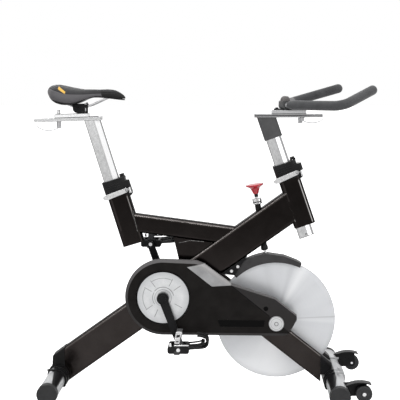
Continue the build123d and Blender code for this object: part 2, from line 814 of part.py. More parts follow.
def saddle_base():
    low = [(x, z + saddle_shell) for x, z in reversed(SADDLE_LOW)]
    return side(saddle_profile(0, low), -150, 150) & prism(saddle_plan(4.0), 900, 1200)


def saddle_rails():
    """Two steel rails from the nose to the tail of the saddle's shell."""
    def run(y):
        path = FilletPolyline(
            (196, 0.75 * y, 1036), (122, y, clamp_rail_z), (58, y, clamp_rail_z), (16, 1.5 * y, 1024),
            radius=14,
        )
        return sweep(Plane(path @ 0, z_dir=path % 0) * Circle(saddle_rail_radius), path)

    above = side(saddle_profile(0, [(247, 1200), (-25, 1200)]), -150, 150)
    above &= prism(saddle_plan(-20), 900, 1200)
    rods = [(run(y) - above).solids() for y in (-saddle_rail_y, saddle_rail_y)]
    return group(*[rod.sort_by(SortBy.VOLUME)[-1] for rod in rods])


def saddle_knuckle():
    """Foot on the seat slider that carries the saddle's tilt pin."""
    foot = outline((clamp_x - 12, 940), (clamp_x + 12, 940), (clamp_x + 7, clamp_z), (clamp_x - 7, clamp_z))
    body = side(foot, -knuckle_half, knuckle_half)
    body += pin(clamp_x, clamp_z, knuckle_radius, -knuckle_half, knuckle_half)
    body -= SEAT_RAIL.location * block((-200, 200), (-100, 100), (-50, rail_thick + slider_thick))
    return body - pin(clamp_x, clamp_z, clamp_pin + seat_gap, -100, 100)


def saddle_clamp():
    """Clamp that grips both rails and tilts about the knuckle's pin."""
    half = clamp_length / 2
    low = clamp_z + knuckle_radius + side_gap
    body = block((clamp_x - half, clamp_x + half), (-clamp_half, clamp_half), (low, clamp_top))
    body = fillet(body.edges().filter_by(Axis.Y).group_by(Axis.Z)[-1], 3.0)
    for y in (-saddle_rail_y, saddle_rail_y):
        groove = Rot(0, 90, 0) * Cylinder(saddle_rail_radius, clamp_length + 10)
        body -= Pos(clamp_x, y, clamp_rail_z) * groove
    ear_low = knuckle_half + side_gap
    ear = outline(
        (clamp_x - 16, low + 1), (clamp_x - 9, clamp_z), (clamp_x + 9, clamp_z), (clamp_x + 16, low + 1),
    )
    ears = side(ear, ear_low, clamp_half) + pin(clamp_x, clamp_z, 9, ear_low, clamp_half)
    body = body + ears + mirror(ears, about=Plane.XZ)
    return body - pin(clamp_x, clamp_z, clamp_pin + run_gap, -100, 100)


def saddle_pin():
    end = clamp_half + side_gap
    rod = pin(clamp_x, clamp_z, clamp_pin, -end, end)
    return rod + both(pin(clamp_x, clamp_z, clamp_pin + 3, end, end + 4))


# --- Handlebar --------------------------------------------------------------------------------------
def bar_path(side_of, start=0.0):
    """Centre line of one arm of the handlebar in its own frame: root, bend and tip."""
    root = (0, side_of * bar_root_y, 0)
    bend = (bar_bend[0], side_of * bar_bend[1], bar_bend[2])
    tip = (bar_tip[0], side_of * bar_tip[1], bar_tip[2])
    share = start / hypot(bend[0], bend[1] - root[1])
    first = tuple(a + share * (b - a) for a, b in zip(root, bend))
    return FilletPolyline(first, bend, tip, radius=bar_bend_radius)


def round_sweep(path, radius):
    return sweep(Plane(path @ 0, z_dir=path % 0) * Circle(radius), path)


def handlebar():
    """Steel tube of the bar: a straight middle and two arms."""
    middle = Pos(0, 0, 0) * Rot(90, 0, 0) * Cylinder(bar_radius, 2 * bar_root_y)
    body = middle
    for side_of in (-1, 1):
        body += Pos(0, side_of * bar_root_y, 0) * Sphere(bar_radius)
        body += round_sweep(bar_path(side_of), bar_radius)
    return BAR.location * body


def bar_foam():
    """Foam grips over both arms, closed at the tips."""
    grips = []
    outer = bar_radius + foam_wall
    for side_of in (-1, 1):
        path = bar_path(side_of, stem_half - 2)
        grip = round_sweep(path, outer) + Pos(*(path @ 1)) * Sphere(outer)
        grip -= round_sweep(bar_path(side_of), bar_radius + seat_gap)
        grips.append(BAR.location * grip)
    return group(*grips)


def bar_bracket():
    """Plate on the handlebar slider that carries the swivel of the stem."""
    place = bar_root_x - bar_rail_x
    low = bar_slider_top
    plate = block((place - bracket_back, place + bracket_front), (-20, 20), (low, low + bracket_thick))
    plate = fillet(plate.edges().filter_by(Axis.Z), 6.0)
    bolt = place - bracket_bolt_back
    plate += upright(bolt, 0, 5.5, low + bracket_thick, low + bracket_thick + 4)
    return BAR_RAIL.location * plate


def stem_clamp():
    """Clamp that holds the bar and swivels on the bracket."""
    low = bar_slider_top + bracket_thick + run_gap
    place = bar_root_x - bar_rail_x
    base = BAR_RAIL.location * upright(place, 0, stem_radius, low, low + 6)
    upper = block((-stem_radius, stem_radius - 2), (-stem_half, stem_half), (-12, bar_radius + 3))
    upper = fillet(upper.edges().filter_by(Axis.Y), 5.0)
    body = base + BAR.location * upper
    body -= BAR.location * (Rot(90, 0, 0) * Cylinder(bar_radius, 4 * stem_half)) + handlebar()
    return body - BAR_RAIL.location * block((-200, 200), (-100, 100), (-100, low))


def stem_cap():
    """Round cap on top of the clamp."""
    low = bar_radius + 3
    cap = upright(0, 0, stem_cap_radius, low, stem_cap_top - bar_root_z)
    cap = fillet(cap.edges().sort_by(Axis.Z)[-1], 6.0)
    return BAR.location * cap


# --- Drive ------------------------------------------------------------------------------------------
def crank_axle():
    reach = arm_inner + arm_thick + arm_boss_rise
    return pin(crank_x, crank_z, crank_axle_radius, -reach, reach)


def arm_end():
    """Centre of the right pedal's hole."""
    turn = radians(crank_angle)
    return crank_x + crank_length * sin(turn), crank_z - crank_length * cos(turn)


def crank_arm():
    """Right crank arm; the left one is the same piece turned half a turn."""
    low, high = -arm_inner - arm_thick, -arm_inner
    taper = degrees(asin((arm_root - arm_tip) / crank_length))
    near, far = arm_root * cos(radians(taper)), arm_tip * cos(radians(taper))
    shape = outline((-near, 0), (near, 0), (far, -crank_length), (-far, -crank_length))
    shape = shape + Circle(arm_root) + Pos(0, -crank_length) * Circle(arm_tip)
    arm = side(shape, low, high) + pin(0, 0, arm_boss, low - arm_boss_rise, high)
    arm = Pos(crank_x, 0, crank_z) * (Rot(0, -crank_angle, 0) * arm)
    x, z = arm_end()
    arm -= pin(x, z, spindle_radius + seat_gap, low - 10, high + 10)
    return arm - pin(crank_x, crank_z, crank_axle_radius + seat_gap, low - 10, high + 10)


def far_side(shape):
    """The far-side copy: mirrored across the bike, then half a turn round the crank axle."""
    flipped = mirror(shape, about=Plane.XZ)
    return Pos(crank_x, 0, crank_z) * (Rot(0, 180, 0) * (Pos(-crank_x, 0, -crank_z) * flipped))


def opposite_pedal(shape):
    """The left pedal: the mirror image of the right one, level like it, at the left arm's end."""
    x, z = arm_end()
    return Pos(2 * (crank_x - x), 0, 2 * (crank_z - z)) * mirror(shape, about=Plane.XZ)


def crank_bolt():
    start = arm_inner + arm_thick + arm_boss_rise
    return pin(crank_x, crank_z, arm_boss - 9, -start - crank_cap, -start)


def drive_pulley():
    low, high = -pulley_inner - pulley_width, -pulley_inner
    body = pin(crank_x, crank_z, pulley_radius, low, high)
    for place in range(5):
        turn = radians(72 * place)
        body -= pin(crank_x + 56 * cos(turn), crank_z + 56 * sin(turn), 15, low, high)
    return body - pin(crank_x, crank_z, crank_axle_radius + seat_gap, low, high)


def crank_disc():
    """Polished disc beside the right crank arm, with a raised hub."""
    face = cover_front + 2
    body = pin(crank_x, crank_z, disc_radius, -face, -face + disc_thick)
    body += pin(crank_x, crank_z, disc_hub, -arm_inner + 1, -pulley_inner - pulley_width)
    return body - pin(crank_x, crank_z, crank_axle_radius + seat_gap, -arm_inner, 0)


def small_pulley():
    low, high = -pulley_inner - pulley_width, -pulley_inner
    body = pin(wheel_x, wheel_z, small_pulley_radius, low, high)
    return body - pin(wheel_x, wheel_z, axle_radius + seat_gap, low, high)


def belt_run(big, small, low, high):
    """Solid inside a tight loop round both pulleys."""
    dx, dz = wheel_x - crank_x, wheel_z - crank_z
    span, turn = hypot(dx, dz), atan2(dz, dx)
    lean = asin((big - small) / span)
    corners = []
    for sign in (1, -1):
        angle = turn + sign * (radians(90) - lean)
        corners.append((crank_x + big * cos(angle), crank_z + big * sin(angle)))
        corners.append((wheel_x + small * cos(angle), wheel_z + small * sin(angle)))
    quad = outline(corners[0], corners[1], corners[3], corners[2])
    loop = quad + Pos(crank_x, crank_z) * Circle(big) + Pos(wheel_x, wheel_z) * Circle(small)
    return side(loop, low, high)


def drive_belt():
    low, high = -pulley_inner - pulley_width + 1, -pulley_inner - 1
    outer = belt_run(pulley_radius + belt_thick, small_pulley_radius + belt_thick, low, high)
    return outer - belt_run(pulley_radius + run_gap, small_pulley_radius + run_gap, low, high)


def flywheel():
    body = pin(wheel_x, wheel_z, wheel_radius, -wheel_half, wheel_half)
    body = chamfer(body.edges().filter_by(GeomType.CIRCLE), 2.0)
    body += pin(wheel_x, wheel_z, wheel_hub_radius, -wheel_hub_half, wheel_hub_half)
    return body - pin(wheel_x, wheel_z, axle_radius + seat_gap, -100, 100)


def flywheel_axle():
    return pin(wheel_x, wheel_z, axle_radius, -pulley_inner - pulley_width, leg_outer + 8)


def axle_nut():
    ring = side(Pos(wheel_x, wheel_z) * RegularPolygon(14, 6), leg_outer + side_gap, leg_outer + 7)
    return ring - pin(wheel_x, wheel_z, axle_radius + seat_gap, leg_outer, leg_outer + 9)


# --- Drive cover ------------------------------------------------------------------------------------
def cover_face(inset):
    """Side view of the drive cover: a round end about the crank and a long nose to the flywheel hub."""
    radius = cover_round - inset
    low, crown = (crank_x, crank_z - radius), (crank_x, crank_z + radius)
    nose = Polyline(
        low, (cover_heel[0] - 16, low[1]), (cover_heel[0], cover_heel[1] + 0.3 * inset),
        (cover_chin[0] - 0.2 * inset, cover_chin[1]), (cover_brow[0] - 0.2 * inset, cover_brow[1]),
        (cover_shoulder[0], cover_shoulder[1] - 0.3 * inset), (cover_waist[0], cover_waist[1] - 0.45 * inset),
        (cover_corner[0] - 0.4 * inset, cover_corner[1] - 0.7 * inset),
        (cover_top[0] - 0.5 * inset, cover_top[1] - inset), crown,
    )
    return make_face([nose, ThreePointArc(crown, (crank_x - radius, crank_z), low)])


def cover_form(inset, back, front):
    """Solid form of the cover between two depths, bevelled round its front."""
    knee = front - cover_bevel_depth
    rim = Plane.XZ.offset(knee) * cover_face(inset)
    face = Plane.XZ.offset(front) * cover_face(inset + cover_bevel)
    return side(cover_face(inset), -knee, -back) + loft([rim, face], ruled=True)


def cover_outer():
    """Plastic drive cover, open at the back and round the crank."""
    back = cover_back + cover_plate
    body = cover_form(0, back, cover_front) - cover_form(cover_wall, back - 1, cover_front - cover_wall)
    body -= pin(crank_x, crank_z, cover_opening, -200, 0)
    left, right = slot_x
    low, high = slot_z
    slot = outline((left, high), (left + 10, low), (right - 4, low), (right, high))
    body -= side(slot, -cover_front - 1, -cover_front + slot_depth)
    x, z = cover_hole
    return body - pin(x, z, cover_hole_radius, -cover_front - 1, -cover_front + slot_depth)


def cover_back_plate():
    plate = side(cover_face(0), -cover_back - cover_plate, -cover_back)
    plate -= pin(crank_x, crank_z, shell_radius + 2, -100, 0)
    return plate - pin(wheel_x, wheel_z, axle_radius + 3, -100, 0)


def cover_trim():
    """Bright trapezoid on the cover's upper front edge."""
    low_left, low_right = (463.5, 447.4), (549.3, 379.6)
    shape = outline(low_left, (506, 449), (598, 384), low_right)
    return side(shape, -cover_front - trim_thick, -cover_front)


def hub_cap():
    start = cover_front
    cap = pin(wheel_x, wheel_z, hub_cap_radius, -start - hub_cap_thick, -start)
    cap = chamfer(cap.edges().sort_by(Axis.Y)[0], 1.5)
    return cap + pin(wheel_x, wheel_z, 5, -start - hub_cap_thick - 2, -start - hub_cap_thick)


# --- Pedals -----------------------------------------------------------------------------------------
def pedal_spindle():
    x, z = arm_end()
    return pin(x, z, spindle_radius, -pedal_start - pedal_width - 1, -arm_inner)


def pedal():
    """Right pedal body: barrel, front and rear bars and two side plates."""
    x, z = arm_end()
    low, high = -pedal_start - pedal_width, -pedal_start
    half = pedal_length / 2
    body = side(Pos(x, z) * RectangleRounded(pedal_length, pedal_height, 8), low, high)
    inner = half - pedal_bar
    for place in (-1, 1):
        hole = Rectangle(inner - pedal_barrel, pedal_height + 2)
        window = Pos(x + place * (inner + pedal_barrel) / 2, z) * hole
        body -= side(window, low + pedal_wall, high - pedal_wall)
    return body - pin(x, z, spindle_radius + run_gap, low, high)


def toe_cage():
    """Toe clip from the pedal's front bar forward, up and back over the toes."""
    x, z = arm_end()
    front = pedal_length / 2
    middle = -pedal_start - pedal_width / 2
    t = cage_thick
    shell = outline(
        (x + front, z - 9), (x + cage_front - 18, z - 8), (x + cage_front - 2, z + 2), (x + cage_front, z + 22),
        (x + cage_front - 6, z + 48), (x + cage_front - 26, z + cage_top),
        (x + cage_front - 29, z + cage_top - t),
        (x + cage_front - 6 - t, z + 46), (x + cage_front - t, z + 22), (x + cage_front - 4, z + 5),
        (x + cage_front - 20, z - 8 + t), (x + front, z - 9 + t),
    )
    return side(shell, middle - cage_half, middle + cage_half)


def pedal_strap():
    """Strap loop over the pedal with its buckle on the outer side."""
    x, z = arm_end()
    low, high = -pedal_start - pedal_width - side_gap, -pedal_start + side_gap
    t = strap_thick
    bottom, top = z - pedal_height / 2 - side_gap, z + strap_rise
    centre = x - strap_back
    along = (centre - strap_width / 2, centre + strap_width / 2)
    outer = block(along, (low - t, high + t), (bottom - t, top))
    return outer - block((centre - 50, centre + 50), (low, high), (bottom, top - t))


def pedal_buckle():
    x, z = arm_end()
    face = -pedal_start - pedal_width - side_gap - strap_thick
    low = z + pedal_height / 2 + 2
    body = block((x - strap_back - 12, x - strap_back + 12), (face - 3, face), (low, low + buckle_height))
    return fillet(body.edges().filter_by(Axis.Y), 3.0)


# --- Brake and guard --------------------------------------------------------------------------------
def brake_guide():
    body = upright(0, 0, guide_radius, guide_low, guide_high)
    body += upright(0, 0, guide_nut, guide_high, guide_high + guide_nut_height)
    return BRAKE.location * (body - upright(0, 0, rod_radius + run_gap, 0, 600))


def brake_rod():
    """Rod through the guide with the pad holder on its lower end."""
    low = wheel_radius + pad_gap + pad_thick
    return BRAKE.location * (upright(0, 0, rod_radius, low, knob_low) + upright(0, 0, 9, low, low + 4))


def brake_pad():
    along = (-pad_length / 2, pad_length / 2)
    pad = block(along, (-pad_half, pad_half), (0, wheel_radius + pad_gap + pad_thick))
    pad -= Rot(90, 0, 0) * Cylinder(wheel_radius + pad_gap, 100)
    return BRAKE.location * pad


def tapered(low_radius, high_radius, low, high):
    """Cone along local z between two heights."""
    cone = Cone(low_radius, high_radius, high - low, align=(Align.CENTER, Align.CENTER, Align.MIN))
    return Pos(0, 0, low) * cone


def brake_knob():
    """Red push-and-turn knob: a flat top that flares out of a tapered stem."""
    rim_low = knob_top - knob_rim
    waist = rim_low - knob_flare
    head = upright(0, 0, knob_radius, rim_low, knob_top)
    head = fillet(head.edges().filter_by(GeomType.CIRCLE), 2.0)
    knob = head + tapered(knob_waist, knob_radius - 3, waist, rim_low)
    return BRAKE.location * (knob + tapered(knob_stem, knob_waist, knob_low, waist))


def sector(radius, start, stop):
    """Pie slice about the flywheel axle, wide enough to cut with."""
    steps = 6
    rim = [start + (stop - start) * step / steps for step in range(steps + 1)]
    far = [(wheel_x + radius * cos(radians(a)), wheel_z + radius * sin(radians(a))) for a in rim]
    return outline((wheel_x, wheel_z), *far)


def ring_part(outer, inner, start, stop, low, high):
    ring = Pos(wheel_x, wheel_z) * (Circle(outer) - Circle(inner))
    return side(ring & sector(2 * outer, start, stop), low, high)


def under_brow(drop):
    """Side view of everything below the guard's sloping front, lowered by a wall."""
    first, last = guard_brow[0], guard_brow[-1]
    high = wheel_z + 2 * guard_radius
    back = wheel_x - 2 * guard_radius
    brow = [(x - drop, z - drop) for x, z in guard_brow]
    return outline((back, wheel_z), (back, high), (first[0] - drop, high), *brow, (last[0], wheel_z))


def flywheel_guard():
    """Channel over the top of the flywheel, open towards the axle, lower at its front end."""
    body = ring_part(guard_radius, guard_lip, guard_start, guard_end, -guard_half, guard_half)
    body &= side(under_brow(0), -guard_half, guard_half)
    inner, half = guard_radius - guard_wall, guard_half - guard_wall
    hollow = ring_part(inner, 0.9 * guard_lip, guard_start - 5, guard_end + 5, -half, half)
    body -= hollow & side(under_brow(guard_wall), -half, half)
    return body - BRAKE.location * upright(0, 0, rod_radius + 3, 200, 260)


def guard_bolts_at():
    return [(639.7, 440.0), (617.6, 424.0)]


def guard_bracket():
    """Plate under the beam with an ear down each side of the guard."""
    ear = outline((586, beam_edge(586, -1)), (672, beam_edge(672, -1)), (652, 444), (628, 408), (590, 412))
    half = guard_half + bracket_wall
    body = side(ear, -half, half) - side(ear, -guard_half, guard_half)
    top = outline(
        (586, beam_edge(586, -1)), (672, beam_edge(672, -1)),
        (672, beam_edge(672, -1) - bracket_wall), (586, beam_edge(586, -1) - bracket_wall),
    )
    body += side(top, -half, half)
    for x, z in guard_bolts_at():
        body -= pin(x, z, 3 + seat_gap, -100, 100)
    return body - ring_part(guard_radius, 0.5 * guard_radius, 60, 140, -guard_half, guard_half)


def guard_bolts():
    heads = []
    start = guard_half + bracket_wall
    for x, z in guard_bolts_at():
        heads.append(pin(x, z, 5.5, start, start + 4) + pin(x, z, 3, guard_half, start))
    return group(*[both(head) for head in heads])


def seat_parts():
    """Seat post, rail, slider with its lock, and the saddle on its clamp."""
    stud_now = seat_slider_x + seat_stud_x
    return {
        "seat_post": post(SEAT, seat_tube_length - seat_post_below, SEAT_RAIL),
        "seat_rail": seat_rail(),
        "seat_slider": group(
            slider(SEAT_RAIL, seat_slider_x, stud_now),
            stud(SEAT_RAIL, stud_now, seat_lock_height, seat_stud_height),
        ),
        "seat_slide_lever": slide_lock(
            SEAT_RAIL, stud_now, 180, seat_lock_height, seat_lock_arm, seat_lock_rise,
        ),
        "saddle_knuckle": group(saddle_knuckle(), saddle_pin()),
        "saddle_clamp": saddle_clamp(),
        "saddle_rails": saddle_rails(),
        "saddle_base": saddle_base(),
        "saddle_pad": saddle_pad(),
    }


def handlebar_parts():
    """Handlebar post, rail, slider with its lock, and the bar in its swivelling stem."""
    stud_now = bar_slider_x + bar_stud_x
    return {
        "handlebar_post": post(HEAD, -head_post_below, BAR_RAIL),
        "post_sleeve": post_sleeve(),
        "handlebar_rail": bar_rail(),
        "bar_slider": group(
            slider(BAR_RAIL, bar_slider_x, stud_now),
            stud(BAR_RAIL, stud_now, bar_lock_height, bar_stud_height),
        ),
        "bar_bracket": bar_bracket(),
        "bar_slide_lever": slide_lock(
            BAR_RAIL, stud_now, 0, bar_lock_height, bar_lock_arm, bar_lock_rise,
        ),
        "stem_clamp": stem_clamp(),
        "stem_cap": stem_cap(),
        "handlebar": handlebar(),
        "handlebar_foam": bar_foam(),
    }


def frame_parts():
    """Everything that is welded, bolted or pressed to the frame."""
    mounts = ((SEAT, seat_tube_length), (HEAD, head_tube_length))
    return {
        "main_beam": main_beam(),
        "seat_tube": seat_tube(),
        "head_tube": head_tube(),
        "top_tube": group(top_tube(), gusset()),
        "bottom_bracket": group(bottom_bracket(), crank_bearings(), axle_bearings()),
        "front_legs": both(leg()),
        "foot_tubes": group(foot_tube(0), foot_tube(front_foot_x)),
        "foot_brackets": group(foot_bracket(0), foot_bracket(front_foot_x), both(leg_shoe())),
        "end_caps": group(beam_end_cap(), foot_end_caps()),
        "levelling_feet": group(*[levelling_foot(place) for place in range(len(leveller_places()))]),
        "wheel_brackets": both(wheel_bracket()),
        "post_collars": group(*[collar(*mount) for mount in mounts]),
        "post_bushings": group(*[bushing(*mount) for mount in mounts]),
        "frame_bolts": group(both(wheel_bolt()), guard_bolts(), *[collar_pin(*mount) for mount in mounts]),
        "brake_guide": brake_guide(),
        "flywheel_guard": flywheel_guard(),
        "guard_bracket": guard_bracket(),
    }


def drive_parts():
    """Crank set, belt drive, cover, pedals and flywheel."""
    right_cage = group(toe_cage(), pedal_strap(), pedal_buckle())
    return {
        "drive_cover": cover_outer(),
        "drive_cover_back": cover_back_plate(),
        "cover_trim": cover_trim(),
        "hub_cap": hub_cap(),
        "drive_belt": drive_belt(),
        "crank_axle": group(crank_axle(), crank_bolt(), far_side(crank_bolt())),
        "crank_arm_right": crank_arm(),
        "crank_arm_left": far_side(crank_arm()),
        "drive_pulley": drive_pulley(),
        "crank_disc": crank_disc(),
        "pedal_spindles": group(pedal_spindle(), far_side(pedal_spindle())),
        "pedal_right": pedal(),
        "pedal_left": opposite_pedal(pedal()),
        "toe_cage_right": right_cage,
        "toe_cage_left": opposite_pedal(right_cage),
        "flywheel": flywheel(),
        "flywheel_axle": group(flywheel_axle(), axle_nut(), small_pulley()),
    }


def build():
    made = {**frame_parts(), **drive_parts(), **seat_parts(), **handlebar_parts()}
    made["brake_rod"] = brake_rod()
    made["brake_pad"] = brake_pad()
    made["brake_knob"] = brake_knob()
    made["seat_quick_lever"] = quick_lever(SEAT, seat_tube_length)
    made["head_quick_lever"] = quick_lever(HEAD, head_tube_length)
    made["wheel_right"] = roller(-1)
    made["wheel_left"] = roller(1)
    return made


def write(made):
    """One file for each part, with the origin under the middle of the bike."""
    os.makedirs("parts", exist_ok=True)
    boxes = [shape.bounding_box() for shape in made.values()]
    low_x, high_x = min(box.min.X for box in boxes), max(box.max.X for box in boxes)
    floor = min(box.min.Z for box in boxes)
    for name, shape in made.items():
        export_step(Pos(-(low_x + high_x) / 2, 0, -floor) * shape, f"parts/{name}.step")


if __name__ == "__main__":
    write(build())
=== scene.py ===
import json
from functools import partial
from math import atan2, cos, degrees, dist, exp, hypot, pi, radians, sin, tan

import bmesh
import bpy
from mathutils import Euler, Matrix, Quaternion, Vector, noise

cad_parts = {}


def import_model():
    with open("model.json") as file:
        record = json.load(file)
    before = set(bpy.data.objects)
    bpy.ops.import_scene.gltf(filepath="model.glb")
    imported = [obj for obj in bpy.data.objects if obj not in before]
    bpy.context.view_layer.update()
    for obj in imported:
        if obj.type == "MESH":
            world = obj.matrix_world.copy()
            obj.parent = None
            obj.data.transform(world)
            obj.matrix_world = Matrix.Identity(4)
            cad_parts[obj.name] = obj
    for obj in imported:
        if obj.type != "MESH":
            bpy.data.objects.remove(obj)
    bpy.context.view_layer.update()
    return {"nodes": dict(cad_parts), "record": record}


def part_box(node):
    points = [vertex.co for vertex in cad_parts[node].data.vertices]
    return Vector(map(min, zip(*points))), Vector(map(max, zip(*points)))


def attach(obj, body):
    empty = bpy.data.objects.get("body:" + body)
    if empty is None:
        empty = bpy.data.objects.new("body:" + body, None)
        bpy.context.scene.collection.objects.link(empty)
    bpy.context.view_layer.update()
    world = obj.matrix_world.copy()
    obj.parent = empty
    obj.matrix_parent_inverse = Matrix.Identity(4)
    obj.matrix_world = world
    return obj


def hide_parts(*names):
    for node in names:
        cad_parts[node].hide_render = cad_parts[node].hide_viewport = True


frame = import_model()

# Looks of an indoor cycling bike. Lengths below are millimetres on the bike: x forward from the rear
# foot tube's centre line, y to the rider's left, z up from the floor. at() turns them into metres in
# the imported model's frame.
MM = 0.001
FOOT_RADIUS = 33.5
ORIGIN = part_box("foot_tubes")[0].x + FOOT_RADIUS * MM


def at(x, y, z):
    return Vector((x * MM + ORIGIN, y * MM, z * MM))


# --- Sizes shared with the model --------------------------------------------------------------------
WHEEL = (774.6, 249.0)
CRANK = (380.1, 338.5)
COVER_FRONT = 84.0
CRANK_ANGLE = 19.9
CRANK_LENGTH = 170.0
PEDAL_X = CRANK[0] + CRANK_LENGTH * sin(radians(CRANK_ANGLE))
PEDAL_Z = CRANK[1] - CRANK_LENGTH * cos(radians(CRANK_ANGLE))
PEDAL_INNER = 112.0
PEDAL_WIDTH = 76.0


# Tubes: foot of the centre line and lean in degrees.
SEAT_TUBE = (271.5, 516.4, 17.3)
HEAD_TUBE = (874.2, 586.2, 19.1)


def tube_at(tube, ahead, y, up):
    """A point given ahead of, beside and along a leaning tube, or along, beside and above a rail."""
    foot_x, foot_z, lean = tube
    c, t = cos(radians(lean)), sin(radians(lean))
    return at(foot_x + ahead * c - up * t, y, foot_z + ahead * t + up * c)


def line_through(start, end):
    """A line in the side view as its first point and its tilt in degrees."""
    return *start, degrees(atan2(end[1] - start[1], end[0] - start[0]))


# --- Node material tools ----------------------------------------------------------------------------
class Look:
    """A node material. Noise, masks and bump are added to one Principled shader."""

    def __init__(self, name, color, roughness=0.5, metallic=0.0, **values):
        self.name = name
        self.mat = bpy.data.materials.new(name)
        self.mat.use_nodes = True
        self.tree = self.mat.node_tree
        self.shader = self.tree.nodes["Principled BSDF"]
        self.set("Base Color", (*color, 1.0))
        self.set("Roughness", roughness)
        self.set("Metallic", metallic)
        for key, value in values.items():
            self.set(key.replace("_", " "), value)
        self.coords = self.node("ShaderNodeTexCoord").outputs["Object"]
        self.normal = None

    def set(self, socket, value):
        self.shader.inputs[socket].default_value = value

    def node(self, kind, inputs=None, **settings):
        made = self.tree.nodes.new(kind)
        for key, value in settings.items():
            setattr(made, key, value)
        for key, value in (inputs or {}).items():
            if isinstance(value, bpy.types.NodeSocket):
                self.tree.links.new(value, made.inputs[key])
            else:
                made.inputs[key].default_value = value
        return made

    def link(self, source, socket):
        self.tree.links.new(source, self.shader.inputs[socket])

    def math(self, operation, a, b=0.0, c=0.0):
        return self.node("ShaderNodeMath", {0: a, 1: b, 2: c}, operation=operation).outputs[0]

    def times(self, a, b):
        return self.math("MULTIPLY", a, b)

    def plus(self, a, b):
        return self.math("ADD", a, b)

    def minus(self, a, b):
        return self.math("SUBTRACT", a, b)

    def larger(self, a, b):
        return self.math("MAXIMUM", a, b)

    def absolute(self, a):
        return self.math("ABSOLUTE", a)

    def axes(self, source=None):
        return tuple(self.node("ShaderNodeSeparateXYZ", {0: source or self.coords}).outputs)

    def stretched(self, x, y, z, turn=(0.0, 0.0, 0.0)):
        """Coordinates scaled along each axis, for brushed and pulled grain."""
        made = self.node("ShaderNodeMapping", {"Vector": self.coords, "Scale": (x, y, z), "Rotation": turn})
        return made.outputs[0]

    def noise(self, scale, detail=4.0, roughness=0.55, vector=None):
        inputs = {"Vector": vector or self.coords, "Scale": scale, "Detail": detail, "Roughness": roughness}
        return self.node("ShaderNodeTexNoise", inputs).outputs["Fac"]

    def cells(self, scale, vector=None, feature="F1"):
        inputs = {"Vector": vector or self.coords, "Scale": scale}
        return self.node("ShaderNodeTexVoronoi", inputs, feature=feature).outputs["Distance"]

    def ramp(self, source, low, high, to_low=0.0, to_high=1.0):
        inputs = {"Value": source, "From Min": low, "From Max": high, "To Min": to_low, "To Max": to_high}
        return self.node("ShaderNodeMapRange", inputs).outputs[0]

    def mottle(self, scale, low=0.3, high=0.7, to_low=0.0, to_high=1.0):
        """Cloudy pattern, stretched between two levels of its noise."""
        return self.ramp(self.noise(scale), low, high, to_low, to_high)

    def rough(self, scale, low, high):
        """Cloudy roughness between two values."""
        self.link(self.mottle(scale, to_low=low, to_high=high), "Roughness")

    def tones(self, scale, low, high):
        """Cloudy colour between two tones."""
        self.color(self.mottle(scale), low, high)

    def mix(self, factor, a, b):
        """Blend of two colours or colour sockets."""
        a, b = (value if isinstance(value, bpy.types.NodeSocket) else (*value, 1.0) for value in (a, b))
        return self.node("ShaderNodeMix", {0: factor, 6: a, 7: b}, data_type="RGBA").outputs[2]

    def color(self, factor, a, b):
        self.link(self.mix(factor, a, b), "Base Color")

    def base(self):
        """The colour so far, as a socket or a plain value."""
        before = self.shader.inputs["Base Color"]
        return before.links[0].from_socket if before.links else tuple(before.default_value)[:3]

    def paint_over(self, mask, color):
        """Covers the colour so far with another where the mask is one."""
        self.color(mask, self.base(), color)

    def round_edges(self, radius):
        """Soft edges on flat-sided pieces, without touching their mesh."""
        self.normal = self.node("ShaderNodeBevel", {"Radius": radius * MM}, samples=4).outputs[0]
        self.link(self.normal, "Normal")

    def bump(self, height, depth, strength=1.0):
        """Relief of a height field, depth in millimetres."""
        inputs = {"Height": height, "Distance": depth * MM, "Strength": strength}
        if self.normal is not None:
            inputs["Normal"] = self.normal
        self.normal = self.node("ShaderNodeBump", inputs).outputs[0]
        self.link(self.normal, "Normal")

    def flatness(self, radius, samples):
        """One on flat faces and less near sharp corners."""
        rounded = self.node("ShaderNodeBevel", {"Radius": radius * MM}, samples=samples).outputs[0]
        inputs = {0: rounded, 1: self.node("ShaderNodeNewGeometry").outputs["Normal"]}
        return self.node("ShaderNodeVectorMath", inputs, operation="DOT_PRODUCT").outputs["Value"]

    def edge_wear_and_sheen(self, radius, color, amount=0.6):
        """Paler edges where the corner is sharp: partly wear, partly a painted highlight on the edges."""
        worn_and_lit = self.ramp(self.flatness(radius, 4), 0.98, 0.80, 0.0, amount)
        self.paint_over(self.times(worn_and_lit, self.mottle(90.0, 0.42, 0.66)), color)

    def edge_line(self, radius, color, amount=0.8):
        """Line along sharp corners, as polished corners mirror the dark of a room."""
        self.paint_over(self.ramp(self.flatness(radius, 6), 0.995, 0.90, 0.0, amount), color)

    def off(self, x, z):
        """Distances ahead of and above a point of the side view, in metres."""
        ahead, _, up = self.axes()
        return self.minus(ahead, x * MM + ORIGIN), self.minus(up, z * MM)

    def from_place(self, x, z):
        """Distance and angle about an axis across the bike, in metres and radians."""
        dx, dz = self.off(x, z)
        squares = self.plus(self.times(dx, dx), self.times(dz, dz))
        return self.math("SQRT", squares), self.math("ARCTAN2", dz, dx)

    def facing(self):
        """Components of the surface's own normal."""
        return self.axes(self.node("ShaderNodeNewGeometry").outputs["Normal"])

    def side_of_line(self, start, end, soft=1.0):
        """One on the left of a line in the side view, nothing on its right."""
        above = self.tilted(line_through(start, end))[1]
        return self.ramp(above, -soft * MM / 2, soft * MM / 2)

    def all_of(self, *masks):
        result = masks[0]
        for mask in masks[1:]:
            result = self.times(result, mask)
        return result

    def painted_corner_highlight(self, color, amount):
        """Painted highlight: a long soft line of light on the rounded upper corners of a tube."""
        _, ny, nz = self.facing()
        across = self.band(self.absolute(ny), 0.80, 0.05, 0.15)
        broken = self.mottle(7.0, 0.30, 0.62, 0.55, 1.0)
        self.paint_over(self.all_of(across, self.ramp(nz, 0.25, 0.50), broken, amount), color)

